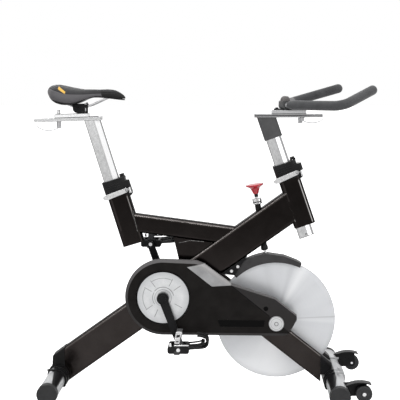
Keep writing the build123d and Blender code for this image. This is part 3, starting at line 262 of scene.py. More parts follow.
    def sides(self):
        """One on faces that look across the bike."""
        return self.ramp(self.absolute(self.facing()[1]), 0.6, 0.8)

    def tilted(self, line):
        """Distances along and above a line, given by a point of it and its tilt in degrees, in metres."""
        start_x, start_z, tilt = line
        c, t = cos(radians(tilt)), sin(radians(tilt))
        dx, dz = self.off(start_x, start_z)
        along = self.plus(self.times(dx, c), self.times(dz, t))
        return along, self.minus(self.times(dz, c), self.times(dx, t))

    def painted_tube_highlight(self, tube, place, half, low, high, color, amount):
        """Painted highlight: a line of light along the side of a leaning tube."""
        ahead, up = self.tilted(tube)
        line = self.band(ahead, place * MM, half * MM, 0.0010)
        span = self.band(up, (low + high) / 2 * MM, (high - low) / 2 * MM, 0.004)
        self.paint_over(self.all_of(line, span, self.sides(), amount), color)

    def band(self, value, middle, half, soft):
        """One within a band of values, falling to nothing outside it."""
        return self.ramp(self.absolute(self.minus(value, middle)), half + soft, half)


# --- Materials --------------------------------------------------------------------------------------
# Painted rays of light and shade on the turned disc: degrees from straight ahead, half width, strength
# (positive strengths paint light, negative ones paint shade).
FAN = ((62.0, 8.0, 0.55), (74.0, 4.0, -0.10), (50.0, 6.0, 0.10), (3.0, 1.0, -0.32), (-1.5, 3.0, 0.20),
       (-96.0, 46.0, 0.62), (-40.0, 26.0, 0.20), (118.0, 14.0, 0.06), (100.0, 8.0, -0.10), (28.0, 10.0, 0.08))


# Where the strap over the front foot turns from black to plated.
STRAP_EDGE = ((967.8, 136.7), (992.4, 10.7))


def frame_paint():
    """Deep gloss black: flat faces stay dark, rounded corners catch the strip lamps; lower parts are painted
    lighter as a painted reflection of the floor, and painted highlight lines run along the upper corners and
    the tubes' edges.
    """
    look = Look("frame_paint", (0.018, 0.015, 0.014), 0.2, 1.0, Coat_Weight=0.12, Coat_Roughness=0.06)
    look.set("Specular Tint", (0.10, 0.09, 0.085, 1.0))
    look.round_edges(1.6)
    flecks = look.mottle(14.0, 0.35, 0.7)
    high = look.mix(flecks, (0.010, 0.0078, 0.0070), (0.016, 0.0132, 0.0124))
    low = look.mix(flecks, (0.027, 0.0225, 0.0210), (0.036, 0.0305, 0.0290))
    # Painted reflection: the tone turns lighter towards the floor, as low faces would mirror it.
    look.link(look.mix(look.ramp(look.axes()[2], 0.62, 0.22), high, low), "Base Color")
    # Painted highlight along the rounded upper corners.
    look.painted_corner_highlight((0.30, 0.28, 0.27), 0.42)
    # Painted highlight lines along the front and rear edges of the seat and head tubes.
    look.painted_tube_highlight(SEAT_TUBE, 30.4, 0.9, 60.0, 168.0, (0.24, 0.23, 0.225), 0.8)
    look.painted_tube_highlight(SEAT_TUBE, -26.0, 2.2, 60.0, 176.0, (0.055, 0.048, 0.046), 0.5)
    look.painted_tube_highlight(HEAD_TUBE, 29.2, 1.0, 8.0, 158.0, (0.36, 0.35, 0.345), 0.85)
    look.painted_tube_highlight(HEAD_TUBE, -26.0, 2.2, 100.0, 170.0, (0.050, 0.044, 0.042), 0.5)
    look.rough(60.0, 0.15, 0.24)
    look.bump(look.noise(420.0, 2.0), 0.03, 0.3)
    # Paler edges: partly wear, partly painted highlight.
    look.edge_wear_and_sheen(1.0, (0.16, 0.15, 0.145), 0.12)
    return look


def satin_tube():
    look = Look("satin_tube", (0.62, 0.63, 0.64), 0.34, 0.85)
    look.tones(22.0, (0.46, 0.465, 0.475), (0.57, 0.575, 0.58))
    flakes = look.cells(2600.0)
    look.link(look.ramp(flakes, 0.0, 0.6, 0.26, 0.42), "Roughness")
    look.bump(look.noise(900.0, 2.0), 0.02, 0.5)
    return look


POST_REAR, POST_FLAT, POST_FRONT = -33.2, -0.7, 20.8      # across a post, from its tube's centre line
POST_FOOT, POST_DOT = -40.6, (-6.0, -30.4)                # lower end of a post and the hole near it


def post_metal(name, tube, front_line):
    """Drawn and plated steel: mottled flat side, a bevelled front painted bright as a painted reflection,
    painted shade lines at its knee, its outline and its lower end, and a dark dot painted for the shade in a
    small hole.
    """
    look = Look(name, (0.80, 0.80, 0.81), 0.24, 1.0)
    look.round_edges(0.8)
    ahead, up = look.tilted(tube)
    turn = (0.0, radians(tube[2]), 0.0)
    drawn = look.noise(1.0, 3.0, vector=look.stretched(1400.0, 1400.0, 24.0, turn))
    mottle = look.noise(1.0, 5.0, 0.7, look.stretched(110.0, 110.0, 60.0, turn))
    flat = look.mix(look.ramp(mottle, 0.34, 0.68), (0.56, 0.562, 0.565), (0.76, 0.762, 0.765))
    # Painted reflection: the bevelled front ahead of the flat side is painted bright.
    look.color(look.ramp(ahead, (POST_FLAT - 1.0) * MM, (POST_FLAT + 1.0) * MM), flat, (0.90, 0.90, 0.905))
    # Painted shade: a dark line at the knee between the flat side and the front.
    knee = look.band(ahead, POST_FLAT * MM, 0.0008, 0.002)
    look.paint_over(look.times(knee, 0.45), (0.30, 0.30, 0.305))
    # Painted shade lines along the post's rear and front outline.
    for place, wide in ((POST_REAR, 1.5), (POST_FRONT, front_line)):
        line = look.band(ahead, place * MM, wide * MM, 0.0012)
        look.paint_over(look.times(line, 0.85), (0.10, 0.10, 0.102))
    # Painted shade band at the post's lower end.
    foot = look.band(up, POST_FOOT * MM, 0.0018, 0.0012)
    look.paint_over(look.times(foot, 0.85), (0.06, 0.06, 0.061))
    # Painted shade: a dark dot where a small hole is.
    off_x, off_z = (look.minus(value, place * MM) for value, place in zip((ahead, up), POST_DOT))
    squares = look.plus(look.times(off_x, off_x), look.times(off_z, off_z))
    look.paint_over(look.ramp(squares, 9.0 * MM * MM, 5.0 * MM * MM, 0.0, 0.8), (0.03, 0.03, 0.03))
    look.link(look.ramp(drawn, 0.25, 0.75, 0.19, 0.34), "Roughness")
    look.bump(drawn, 0.012, 0.5)
    return look


SEAT_RAIL = (45.0, 949.0, 2.1)
BAR_RAIL = (813.0, 963.0, 0.3)
RAIL_THICK, SLIDER_THICK, RAIL_HALF = 12.5, 13.5, 118.0


def rail_metal(name, rail, groove, low, high, fade=(2000.0, 2001.0)):
    """Brushed aluminium extrusion: thin dark lines along its side faces and a groove painted dark as shade.
    """
    look = Look(name, low, 0.26, 1.0)
    look.round_edges(0.6)
    brushed = look.noise(1.0, 3.0, vector=look.stretched(30.0, 1500.0, 1500.0))
    look.color(look.ramp(brushed, 0.3, 0.7), low, high)
    x, rise, sides = look.axes()[0], look.tilted(rail)[1], look.sides()
    start, stop = (place * MM + ORIGIN for place in fade)
    # Dark lines at the rail's edges and its joint with the slider; the groove's line is painted shade in the
    # recess.
    for place, half, depth in ((0.0, 1.3, 0.85), (RAIL_THICK, 1.3, 0.85), (RAIL_THICK / 2, 1.9, groove),
                               (RAIL_THICK + SLIDER_THICK, 1.4, 0.7)):
        line = look.band(rise, place * MM, half * MM, 0.0006)
        kept = look.ramp(x, start, stop, depth, 0.45 * depth)
        look.paint_over(look.all_of(line, sides, kept), (0.035, 0.035, 0.037))
    look.edge_line(2.2, (0.13, 0.13, 0.135), 0.75)
    look.link(look.ramp(brushed, 0.25, 0.75, 0.2, 0.36), "Roughness")
    look.bump(brushed, 0.015, 0.5)
    return look


def bracket_black(name="bracket_black", wear_and_sheen=0.55, strap=None):
    """Cast and coated black, satin; the strap over the front foot may have a colour of its own."""
    look = Look(name, (0.008, 0.008, 0.0085), 0.3, Specular_IOR_Level=0.14)
    look.round_edges(1.2)
    look.tones(35.0, (0.004, 0.004, 0.0045), (0.009, 0.009, 0.0095))
    if strap:
        look.paint_over(look.side_of_line(*STRAP_EDGE, 2.0), strap)
    look.rough(160.0, 0.26, 0.40)
    look.bump(look.noise(700.0, 3.0), 0.05, 0.5)
    # Paler edges: partly wear, partly painted highlight.
    look.edge_wear_and_sheen(1.3, (0.16, 0.16, 0.16), wear_and_sheen)
    return look


def moulded(name, low, high, roughness, grain=1100.0, relief=0.03):
    """Moulded plastic with a fine leather-like grain."""
    look = Look(name, low, roughness, Specular_IOR_Level=0.16)
    look.round_edges(1.0)
    look.color(look.mottle(28.0, 0.32, 0.7), low, high)
    grains = look.cells(grain)
    look.rough(120.0, roughness - 0.06, roughness + 0.08)
    look.bump(grains, relief, 0.5)
    return look


def bright_steel():
    look = Look("bright_steel", (0.80, 0.80, 0.81), 0.14, 1.0)
    look.round_edges(0.5)
    look.tones(60.0, (0.66, 0.66, 0.67), (0.84, 0.84, 0.84))
    look.edge_line(1.2, (0.12, 0.12, 0.125), 0.8)
    look.rough(300.0, 0.09, 0.2)
    look.bump(look.noise(800.0), 0.01, 0.4)
    return look


def band_steel():
    """Zinc-plated strip, paler than the drawn steel and faintly streaked along its length."""
    look = Look("band_steel", (0.70, 0.70, 0.70), 0.3, 0.9)
    look.round_edges(0.5)
    streaks = look.noise(1.0, 3.0, vector=look.stretched(60.0, 60.0, 900.0))
    look.color(look.ramp(streaks, 0.3, 0.7), (0.60, 0.60, 0.602), (0.82, 0.82, 0.82))
    look.edge_line(1.0, (0.22, 0.22, 0.22), 0.6)
    look.rough(300.0, 0.2, 0.36)
    look.bump(streaks, 0.02, 0.5)
    return look


def plain_steel():
    look = Look("plain_steel", (0.48, 0.48, 0.49), 0.34, 1.0)
    look.round_edges(0.5)
    look.color(look.mottle(70.0, 0.3, 0.72), (0.36, 0.36, 0.37), (0.56, 0.56, 0.57))
    look.rough(240.0, 0.26, 0.44)
    look.bump(look.noise(1200.0), 0.02, 0.5)
    return look


def flywheel_steel():
    """Turned disc: fine rings about the axle, and a painted fan of light and dark rays where they would throw
    the light.
    """
    look = Look("flywheel_steel", (0.74, 0.75, 0.76), 0.36, 0.55, Anisotropic=0.6)
    radius, turn = look.from_place(*WHEEL)

    def pattern(x, y, detail):
        vector = look.node("ShaderNodeCombineXYZ", {0: look.times(*x), 1: look.times(*y)}).outputs[0]
        return look.noise(1.0, detail, vector=vector)

    rings = pattern((radius, 1800.0), (turn, 0.6), 4.0)
    broad = pattern((turn, 3.0), (radius, 6.0), 2.0)
    # Painted highlights and painted shade: bright and dark rays fanned about the axle.
    fan = 0.0
    for angle, half, strength in FAN:
        off = look.math("WRAP", look.minus(turn, radians(angle)), pi, -pi)
        ray = look.band(off, 0.0, radians(0.15 * half), radians(half))
        fan = look.math("MULTIPLY_ADD", ray, strength, fan)
    base = look.mix(look.ramp(rings, 0.3, 0.7), (0.632, 0.643, 0.664), (0.680, 0.690, 0.710))
    level = look.plus(fan, look.ramp(broad, 0.3, 0.7, -0.06, 0.06))
    base = look.mix(look.ramp(level, 0.0, 1.0), base, (0.92, 0.925, 0.935))
    look.color(look.ramp(level, 0.0, -0.5), base, (0.44, 0.445, 0.455))
    streaks = look.plus(rings, look.times(broad, 0.4))
    look.link(look.ramp(streaks, 0.4, 1.0, 0.30, 0.42), "Roughness")
    look.link(look.node("ShaderNodeTangent", direction_type="RADIAL", axis="Y").outputs[0], "Tangent")
    # Painted shade on the rounded rim.
    look.paint_over(look.times(look.ramp(radius, 0.2075, 0.2095), 0.35), (0.25, 0.25, 0.255))
    look.bump(rings, 0.012, 0.5)
    return look


def silver_plastic(name="silver_plastic", low=(0.56, 0.57, 0.58), high=(0.66, 0.665, 0.67)):
    """Metallic-painted plastic."""
    look = Look(name, low, 0.3, 0.75)
    look.round_edges(0.6)
    look.tones(24.0, low, high)
    look.link(look.ramp(look.cells(2400.0), 0.0, 0.6, 0.24, 0.38), "Roughness")
    look.bump(look.noise(1400.0), 0.01, 0.4)
    return look


FLASH_MIDDLE = (33.0, 1057.0)      # of the saddle's amber flash, along and up
CREASE = ((616.0, 383.0), (748.8, 276.4))
SLOT_MIDDLE, SLOT_HALF = (651.7, 248.2), (86.0, 13.0)
COVER_HOLE = (737.9, 301.5)
FLASH = ((463.3, 446.7), (551.7, 378.9), (612.0, 383.2))


def cover_front():
    """Black moulded cover: satin face, a bevel painted pale as a painted highlight, a crease to the hub
    painted dark as shade, a deep slot and hole painted dark as shade, the face beyond the crease painted
    lighter as light, and a silver flash.
    """
    look = Look("cover_front", (0.014, 0.0125, 0.012), 0.3, Specular_IOR_Level=0.07)
    look.round_edges(1.2)
    x, y, z = look.axes()
    along, across = look.tilted(line_through(*CREASE))
    half = dist(*CREASE) * MM / 2
    line = look.times(look.band(across, 0.0, 0.0010, 0.0012), look.band(along, half, half, 0.004))
    base = look.mix(look.mottle(28.0, 0.32), (0.0075, 0.0066, 0.0062), (0.0125, 0.0112, 0.0106))
    # Painted light: the face beyond the crease is painted lighter, as light falls on it.
    ahead = look.ramp(x, 600 * MM + ORIGIN, 640 * MM + ORIGIN)
    base = look.mix(look.all_of(look.side_of_line(*CREASE, 3.0), ahead, 0.75), base, (0.034, 0.032, 0.032))
    # Painted highlight on the bevel, stronger on faces that look upward.
    bevel = look.ramp(y, -(COVER_FRONT - 0.3) * MM, -(COVER_FRONT - 1.2) * MM)
    upper = look.ramp(look.facing()[2], -0.1, 0.45, 0.30, 1.0)
    look.color(look.times(bevel, upper), base, (0.115, 0.111, 0.112))
    # Painted shade along the crease.
    look.paint_over(look.times(line, 0.85), (0.001, 0.001, 0.001))
    # Painted shade: the slot and the hole are painted black.
    slot = look.all_of(look.band(x, SLOT_MIDDLE[0] * MM + ORIGIN, SLOT_HALF[0] * MM, 0.0008),
                       look.band(z, SLOT_MIDDLE[1] * MM, SLOT_HALF[1] * MM, 0.0008), bevel)
    look.paint_over(slot, (0.0012, 0.0012, 0.0012))
    hole = look.from_place(*COVER_HOLE)[0]
    look.paint_over(look.ramp(hole, 0.0088, 0.0080), (0.0008, 0.0008, 0.0008))
    left_top, left_foot, right = FLASH
    look.paint_over(look.all_of(
        look.side_of_line(left_top, left_foot), look.side_of_line(left_foot, right),
        look.side_of_line((left_top[0] + 55.0, left_top[1] + 10.6), left_top),
        look.ramp(x, 617.5 * MM + ORIGIN, 615.5 * MM + ORIGIN)), (0.34, 0.335, 0.335))
    look.rough(120.0, 0.30, 0.42)
    look.bump(look.cells(1500.0), 0.02, 0.5)
    look.bump(look.minus(1.0, line), 1.2, 0.8)
    return look


def end_cap_plastic():
    """Dark grey caps on the foot tubes and a black cap at the foot of the beam."""
    look = moulded("end_cap_plastic", (0.027, 0.027, 0.028), (0.037, 0.037, 0.038), 0.5)
    look.paint_over(look.ramp(look.absolute(look.axes()[1]), 0.12, 0.10), (0.006, 0.006, 0.006))
    # Paler edges: partly wear, partly painted highlight.
    look.edge_wear_and_sheen(1.5, (0.16, 0.16, 0.16), 0.5)
    return look


# Fold lines in degrees from straight ahead; each ring has its radius and its start and end in degrees.
FOLDS = (35.0, 63.0, 126.0, 151.0, 216.0, 246.0, 300.0, 332.0)
FOLD_RINGS = ((36.5, 150.0, 215.0), (37.5, 15.0, 140.0), (69.0, 66.0, 123.0), (71.0, 154.0, 213.0))


def crank_disc():
    """Silver disc with pressed folds between two rings; its outer part, the folds and the rings are painted
    darker as shade.
    """
    look = silver_plastic("crank_disc", (0.60, 0.61, 0.62), (0.74, 0.745, 0.75))
    radius, turn = look.from_place(*CRANK)
    degrees_round = look.times(look.math("WRAP", turn, 2 * pi, 0.0), 180.0 / pi)
    lines = 0.0
    for angle in FOLDS:
        across = look.times(look.minus(degrees_round, angle), radius)
        lines = look.larger(look.band(across, 0.0, 0.034, 0.04), lines)
    lines = look.times(lines, look.band(radius, 0.060, 0.013, 0.003))
    for ring, start, stop in FOLD_RINGS:
        line = look.band(radius, ring * MM, 0.0005, 0.0007)
        arc = look.band(degrees_round, (start + stop) / 2, (stop - start) / 2, 4.0)
        lines = look.larger(lines, look.times(line, arc))
    lines = look.larger(lines, look.times(look.band(radius, 0.029, 0.0007, 0.0008), 0.6))
    # Painted shade: the outer part of the disc darkens towards the rim.
    look.paint_over(look.ramp(radius, 0.066, 0.090), (0.52, 0.53, 0.54))
    # Painted shade along the folds and rings.
    look.paint_over(look.times(lines, 0.75), (0.10, 0.10, 0.105))
    look.bump(look.minus(1.0, lines), 0.5, 0.8)
    return look


def hub_cap():
    """Silver cap with a turned rim and a small bolt recess; the groove, the recess and the rim are painted
    darker as shade.
    """
    look = silver_plastic("hub_cap", (0.55, 0.555, 0.56), (0.66, 0.665, 0.67))
    radius = look.from_place(*WHEEL)[0]
    ring = look.times(look.band(radius, 0.0195, 0.0005, 0.0008), 0.45)
    bolt = look.times(look.band(radius, 0.0062, 0.0008, 0.0007), 0.9)
    rim = look.times(look.ramp(radius, 0.0235, 0.0255), 0.7)
    # Painted shade in the turned groove, the bolt recess and on the rim.
    marks = look.larger(look.larger(ring, bolt), rim)
    look.paint_over(marks, (0.09, 0.09, 0.092))
    look.bump(look.minus(1.0, marks), 0.6, 0.8)
    return look


def rubber(name, low, high, roughness, scale, relief):
    look = Look(name, low, roughness, Specular_IOR_Level=0.3)
    look.color(look.mottle(45.0, 0.3, 0.72), low, high)
    look.rough(200.0, roughness - 0.08, roughness + 0.08)
    look.bump(look.noise(scale, 4.0), relief, 0.7)
    return look


def foam():
    """Closed-cell foam: fine open pores in a soft dark skin, the pores painted darker as shade in them."""
    look = Look("foam", (0.040, 0.041, 0.043), 0.86, Sheen_Weight=0.25, Sheen_Roughness=0.5,
                Specular_IOR_Level=0.25)
    blotch = look.mottle(30.0)
    base = look.mix(blotch, (0.040, 0.041, 0.043), (0.062, 0.063, 0.066))
    pores = look.cells(1700.0)
    holes = look.ramp(pores, 0.05, 0.22, 1.0, 0.0)
    # Painted shade in the pores.
    look.color(look.times(holes, 0.55), base, (0.014, 0.014, 0.015))
    look.bump(look.ramp(pores, 0.0, 0.35), 0.22, 0.75)
    look.bump(look.noise(260.0, 3.0), 0.12, 0.5)
    return look


def saddle_cover():
    """Stitched cover: smooth top panel, paler side panels, black nose and an amber flash."""
    look = Look("saddle_cover", (0.03, 0.03, 0.032), 0.5, Sheen_Weight=0.04, Specular_IOR_Level=0.2)
    seam, along, rise = (look.node("ShaderNodeAttribute", attribute_name=name).outputs["Fac"]
                         for name in ("seam", "along", "rise"))
    from_seam = look.absolute(seam)
    top = look.mix(look.mottle(40.0), (0.016, 0.016, 0.017), (0.024, 0.024, 0.026))
    weave = look.ramp(look.cells(1500.0), 0.0, 0.5)
    panel = look.mix(weave, (0.056, 0.054, 0.058), (0.086, 0.083, 0.088))
    panels = look.mix(look.ramp(seam, -0.4, 0.4), top, panel)
    nose = look.ramp(look.math("MULTIPLY_ADD", rise, 0.25, along), 166.0, 167.2)
    panels = look.mix(look.times(nose, look.ramp(rise, 26.0, 24.5)), panels, (0.004, 0.004, 0.004))
    height = look.math("MULTIPLY_ADD", look.axes()[2], 1000.0, -FLASH_MIDDLE[1])
    slope = look.math("MULTIPLY_ADD", look.minus(along, FLASH_MIDDLE[0]), 0.70, height)
    stripe = look.times(look.band(slope, 0.0, 4.2, 0.6), look.band(along, FLASH_MIDDLE[0], 12.5, 0.8))
    stripe = look.times(stripe, look.ramp(seam, -40.0, -38.0))
    colored = look.mix(stripe, panels, (0.66, 0.40, 0.075))
    # Darker along the seam and along the hem.
    seam_and_hem_dark = look.larger(look.ramp(from_seam, 0.4, 1.1, 1.0, 0.0), look.ramp(rise, 5.5, 3.0))
    look.color(look.times(seam_and_hem_dark, 0.8), colored, (0.008, 0.008, 0.009))
    look.rough(180.0, 0.46, 0.62)
    look.bump(look.cells(900.0), 0.10, 0.5)
    look.bump(look.ramp(from_seam, 0.0, 1.8), 0.8, 0.8)
    beat = look.math("FRACT", look.times(along, 0.25))
    dash = look.times(look.ramp(beat, 0.12, 0.2), look.ramp(beat, 0.80, 0.72))
    row = look.ramp(look.absolute(look.minus(from_seam, 2.6)), 0.6, 0.3)
    look.bump(look.times(dash, row), 0.4, 0.8)
    return look


def webbing():
    """Woven strap: cross ribs and long warp threads."""
    look = Look("webbing", (0.016, 0.016, 0.017), 0.7, Sheen_Weight=0.2)
    x, y, z = look.axes()
    ribs = look.math("SINE", look.times(look.plus(z, y), 5200.0))
    warp = look.math("SINE", look.times(x, 7800.0))
    weave = look.times(ribs, warp)
    look.color(look.ramp(weave, -1.0, 1.0), (0.010, 0.010, 0.011), (0.030, 0.030, 0.032))
    look.bump(weave, 0.12, 0.6)
    return look


def red_plastic():
    look = Look("knob_red", (0.52, 0.014, 0.028), 0.26, Coat_Weight=0.3, Coat_Roughness=0.15)
    look.round_edges(0.8)
    look.tones(40.0, (0.38, 0.014, 0.026), (0.48, 0.020, 0.034))
    look.bump(look.cells(1300.0), 0.015, 0.4)
    return look


def felt():
    look = Look("felt", (0.16, 0.15, 0.14), 0.95, Sheen_Weight=0.5)
    fibres = look.noise(1400.0, 6.0, 0.7)
    look.color(look.ramp(fibres, 0.3, 0.7), (0.10, 0.095, 0.09), (0.22, 0.21, 0.20))
    look.bump(fibres, 0.35, 0.8)
    return look


def weld():
    """Weld bead under the frame's paint, its colour mottled pale as a painted highlight where it catches the
    light.
    """
    look = Look("weld", (0.05, 0.046, 0.044), 0.22, Coat_Weight=0.4, Coat_Roughness=0.1,
                Specular_IOR_Level=0.3)
    look.color(look.mottle(240.0, 0.35, 0.65), (0.012, 0.011, 0.010), (0.15, 0.145, 0.14))
    look.bump(look.noise(500.0, 3.0), 0.3, 0.8)
    return look


MATERIALS = {look.name: look.mat for look in (
    frame_paint(),
    satin_tube(),
    post_metal("post_metal", SEAT_TUBE, 2.6),
    post_metal("bar_post_metal", HEAD_TUBE, 7.0),
    rail_metal("seat_rail_metal", SEAT_RAIL, 0.22, (0.76, 0.762, 0.765), (0.90, 0.902, 0.905)),
    rail_metal("bar_rail_metal", BAR_RAIL, 0.92, (0.50, 0.502, 0.51), (0.66, 0.662, 0.67), (855.0, 900.0)),
    bracket_black(),
    bracket_black("foot_bracket", 0.4, (0.42, 0.425, 0.43)),
    moulded("cap_plastic", (0.036, 0.035, 0.036), (0.050, 0.049, 0.050), 0.46),
    moulded("sleeve_plastic", (0.062, 0.062, 0.063), (0.082, 0.082, 0.084), 0.46),
    end_cap_plastic(),
    moulded("black_plastic", (0.006, 0.006, 0.0065), (0.012, 0.012, 0.0125), 0.34),
    moulded("cover_plastic", (0.020, 0.019, 0.019), (0.026, 0.025, 0.025), 0.36, 1500.0, 0.02),
    cover_front(),
    bright_steel(),
    plain_steel(),
    flywheel_steel(),
    silver_plastic(),
    silver_plastic("trim_plastic", (0.28, 0.28, 0.285), (0.40, 0.40, 0.405)),
    crank_disc(),
    hub_cap(),
    rubber("belt_rubber", (0.012, 0.012, 0.012), (0.02, 0.02, 0.02), 0.7, 900.0, 0.1),
    rubber("tread_rubber", (0.030, 0.030, 0.031), (0.045, 0.045, 0.047), 0.62, 500.0, 0.12),
    rubber("boot_rubber", (0.075, 0.070, 0.070), (0.115, 0.108, 0.106), 0.6, 240.0, 0.12),
    foam(),
    saddle_cover(),
    webbing(),
    red_plastic(),
    felt(),
    weld(),
    band_steel(),
)}

# Nodes whose finish isn't the one that their slot in the record names.
OTHER_LOOK = {
    "seat_rail": "seat_rail_metal", "seat_slider": "seat_rail_metal", "handlebar_rail": "bar_rail_metal",
    "bar_slider": "bar_rail_metal", "handlebar_post": "bar_post_metal", "crank_disc": "crank_disc",
    "hub_cap": "hub_cap", "cover_trim": "trim_plastic", "drive_cover": "cover_front",
    "end_caps": "end_cap_plastic", "post_sleeve": "sleeve_plastic", "stem_clamp": "sleeve_plastic",
    "foot_brackets": "foot_bracket", "seat_slide_lever": "plain_steel", "bar_slide_lever": "plain_steel",
    "saddle_rails": "plain_steel",
}


def dress_nodes():
    """Every CAD node gets the material of its slot."""
    slots = {part["node"]: part["material_slot"] for part in frame["record"]["subparts"]}
    for name, node in frame["nodes"].items():
        node.data.materials.clear()
        node.data.materials.append(MATERIALS[OTHER_LOOK.get(name, slots[name])])


# --- Mesh tools -------------------------------------------------------------------------------------
def linked(name, data):
    """A new object in the scene."""
    made = bpy.data.objects.new(name, data)
    bpy.context.scene.collection.objects.link(made)
    return made


def piece(name, bm, body, material, smooth=40.0):
    """A mesh object from a bmesh in metres, riding on a body."""
    mesh = bpy.data.meshes.new(name)
    bmesh.ops.recalc_face_normals(bm, faces=bm.faces)
    bm.to_mesh(mesh)
    bm.free()
    made = linked(name, mesh)
    mesh.materials.append(MATERIALS[material])
    if smooth is not None:
        mesh.shade_smooth()
        mesh.set_sharp_from_angle(angle=radians(smooth))
    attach(made, body)
    return made


def turned(bm, profile, place, axis, steps):
    """Adds a closed turned form: profile is (radius, distance along the axis) in millimetres."""
    up = Vector(axis).normalized()
    out = up.orthogonal().normalized()
    across = up.cross(out)
    rings = []
    for radius, along in profile:
        count = steps if radius >= 1e-6 else 1
        turns = [2 * pi * step / steps for step in range(count)]
        spokes = [(out * cos(turn) + across * sin(turn)) * radius * MM for turn in turns]
        rings.append([bm.verts.new(place + spoke + up * along * MM) for spoke in spokes])
    for a, b in zip(rings, rings[1:] + rings[:1]):
        if len(a) == 1 and len(b) == 1:
            continue
        for step in range(steps):
            after = (step + 1) % steps
            if len(a) == 1:
                bm.faces.new((a[0], b[after], b[step]))
            elif len(b) == 1:
                bm.faces.new((a[step], a[after], b[0]))
            else:
                bm.faces.new((a[step], a[after], b[after], b[step]))


def plate(bm, outline, low, high, place=None):
    """Adds a plate with an x-z outline in millimetres, between two y distances."""
    front, back = ([bm.verts.new((place or at)(x, y, z)) for x, z in outline] for y in (low, high))
    bm.faces.new(front)
    bm.faces.new(back[::-1])
    for i in range(len(outline)):
        j = (i + 1) % len(outline)
        bm.faces.new((front[i], back[i], back[j], front[j]))


def skin(bm, rings, closed=False):
    """Faces between rings of points, and over both ends of an open row of them."""
    for a, b in zip(rings, rings[1:] + rings[:closed]):
        for i in range(len(a)):
            j = (i + 1) % len(a)
            bm.faces.new((a[i], a[j], b[j], b[i]))
    if not closed:
        bm.faces.new(rings[0][::-1])
        bm.faces.new(rings[-1])


def swept(bm, path, section, closed=False, ups=None):
    """Adds a section of (sideways, up) points in metres along a path of points in metres."""
    rings = []
    count = len(path)
    for i, point in enumerate(path):
        before = path[i - 1] if i or closed else point
        after = path[(i + 1) % count] if i < count - 1 or closed else point
        along = (after - before).normalized()
        across = along.cross(ups[i] if ups else Vector((0, 0, 1))).normalized()
        up = across.cross(along).normalized()
        shape = section(i / max(count - 1, 1)) if callable(section) else section
        rings.append([bm.verts.new(point + across * a + up * b) for a, b in shape])
    skin(bm, rings, closed)


def circle(radius, steps=24):
    return [(radius * cos(2 * pi * i / steps), radius * sin(2 * pi * i / steps)) for i in range(steps)]


def soften(made, levels=1, bevel=None):
    """Small bevel on sharp edges, then subdivision where asked, both applied."""
    if bevel:
        cut = made.modifiers.new("edge", "BEVEL")
        cut.width = bevel * MM
        cut.segments = 3
        cut.limit_method = "ANGLE"
        cut.angle_limit = radians(35.0)
    if levels:
        subdivide = made.modifiers.new("round", "SUBSURF")
        subdivide.levels = subdivide.render_levels = levels
    apply_modifiers(made)


def apply_modifiers(made):
    depsgraph = bpy.context.evaluated_depsgraph_get()
    done = bpy.data.meshes.new_from_object(made.evaluated_get(depsgraph))
    old = made.data
    made.modifiers.clear()
    made.data = done
    if old.users == 0:
        bpy.data.meshes.remove(old)


# --- Saddle -----------------------------------------------------------------------------------------
SADDLE_TAIL, SADDLE_NOSE = -26.0, 247.0
SADDLE_PLAN = [(-26, 1), (-24, 26), (-18, 50), (-5, 80), (16, 98), (42, 96), (66, 84), (92, 64), (119, 42),
               (150, 27), (187, 21.5), (220, 18), (238, 14), (245, 8), (247, 1)]
SADDLE_CREST = [(-26, 1058), (-20, 1068), (-8, 1076), (8, 1079), (32, 1075), (60, 1068.5), (85, 1063.5),
                (107, 1061), (150, 1061), (190, 1061.5), (212, 1058), (228, 1050), (240, 1041), (247, 1033)]
SADDLE_HEM = [(-26, 1049), (-18, 1037), (-4, 1024), (16, 1015), (40, 1008.5), (60, 1006.5), (84, 1012),
              (104, 1019.5), (128, 1027), (150, 1029.5), (170, 1027.5), (195, 1025), (215, 1023), (247, 1021)]
SADDLE_STATIONS, SADDLE_INSET = 46, 1.6
# From the middle to the edge: share of the half width, and share of the fall from crest to hem.
SADDLE_SHOULDER = ((0.0, 0.0), (0.18, 0.01), (0.38, 0.05), (0.58, 0.13), (0.75, 0.25), (0.89, 0.43),
                   (0.98, 0.64), (1.0, 0.80), (0.97, 0.93), (0.91, 1.0))
SWELL_PRESSURE, SWELL_MOST, SWELL_FRAMES = 4.0, 2.5, 20


def curve_at(points, x):
    """Smooth height of a line of points at x."""
    if x <= points[0][0]:
        return points[0][1]
    for i in range(len(points) - 1):
        (x0, z0), (x1, z1) = points[i], points[i + 1]
        if x <= x1:
            before = points[max(i - 1, 0)]
            after = points[min(i + 2, len(points) - 1)]
            m0 = (z1 - before[1]) / (x1 - before[0])
            m1 = (after[1] - z0) / (after[0] - x0)
            span = x1 - x0
            t = (x - x0) / span
            a, b = 2 * t ** 3 - 3 * t ** 2 + 1, t ** 3 - 2 * t ** 2 + t
            c, d = -2 * t ** 3 + 3 * t ** 2, t ** 3 - t ** 2
            return a * z0 + b * span * m0 + c * z1 + d * span * m1
    return points[-1][1]


def saddle_ring(x, inset):
    """Cross-section of the padding: crowned top, rolled shoulder and a skirt that tucks in."""
    half = max(curve_at(SADDLE_PLAN, x) - inset, 0.5)
    crest = curve_at(SADDLE_CREST, x) - inset
    hem = curve_at(SADDLE_HEM, x) + inset
    fall = crest - hem
    groove = 3.0 * exp(-((x - 30) / 75.0) ** 2)
    ring = [(share * half, crest - drop * fall - groove * exp(-(share / 0.16) ** 2))
            for share, drop in SADDLE_SHOULDER]
    tuck = ring[-1][1]
    lift = min(7.0, 0.3 * fall)
    right = ring + [(0.86 * half, tuck + 0.5 * lift), (0.4 * half, tuck + lift), (0.0, tuck + lift)]
    return right + [(-y, z) for y, z in right[-2:0:-1]]


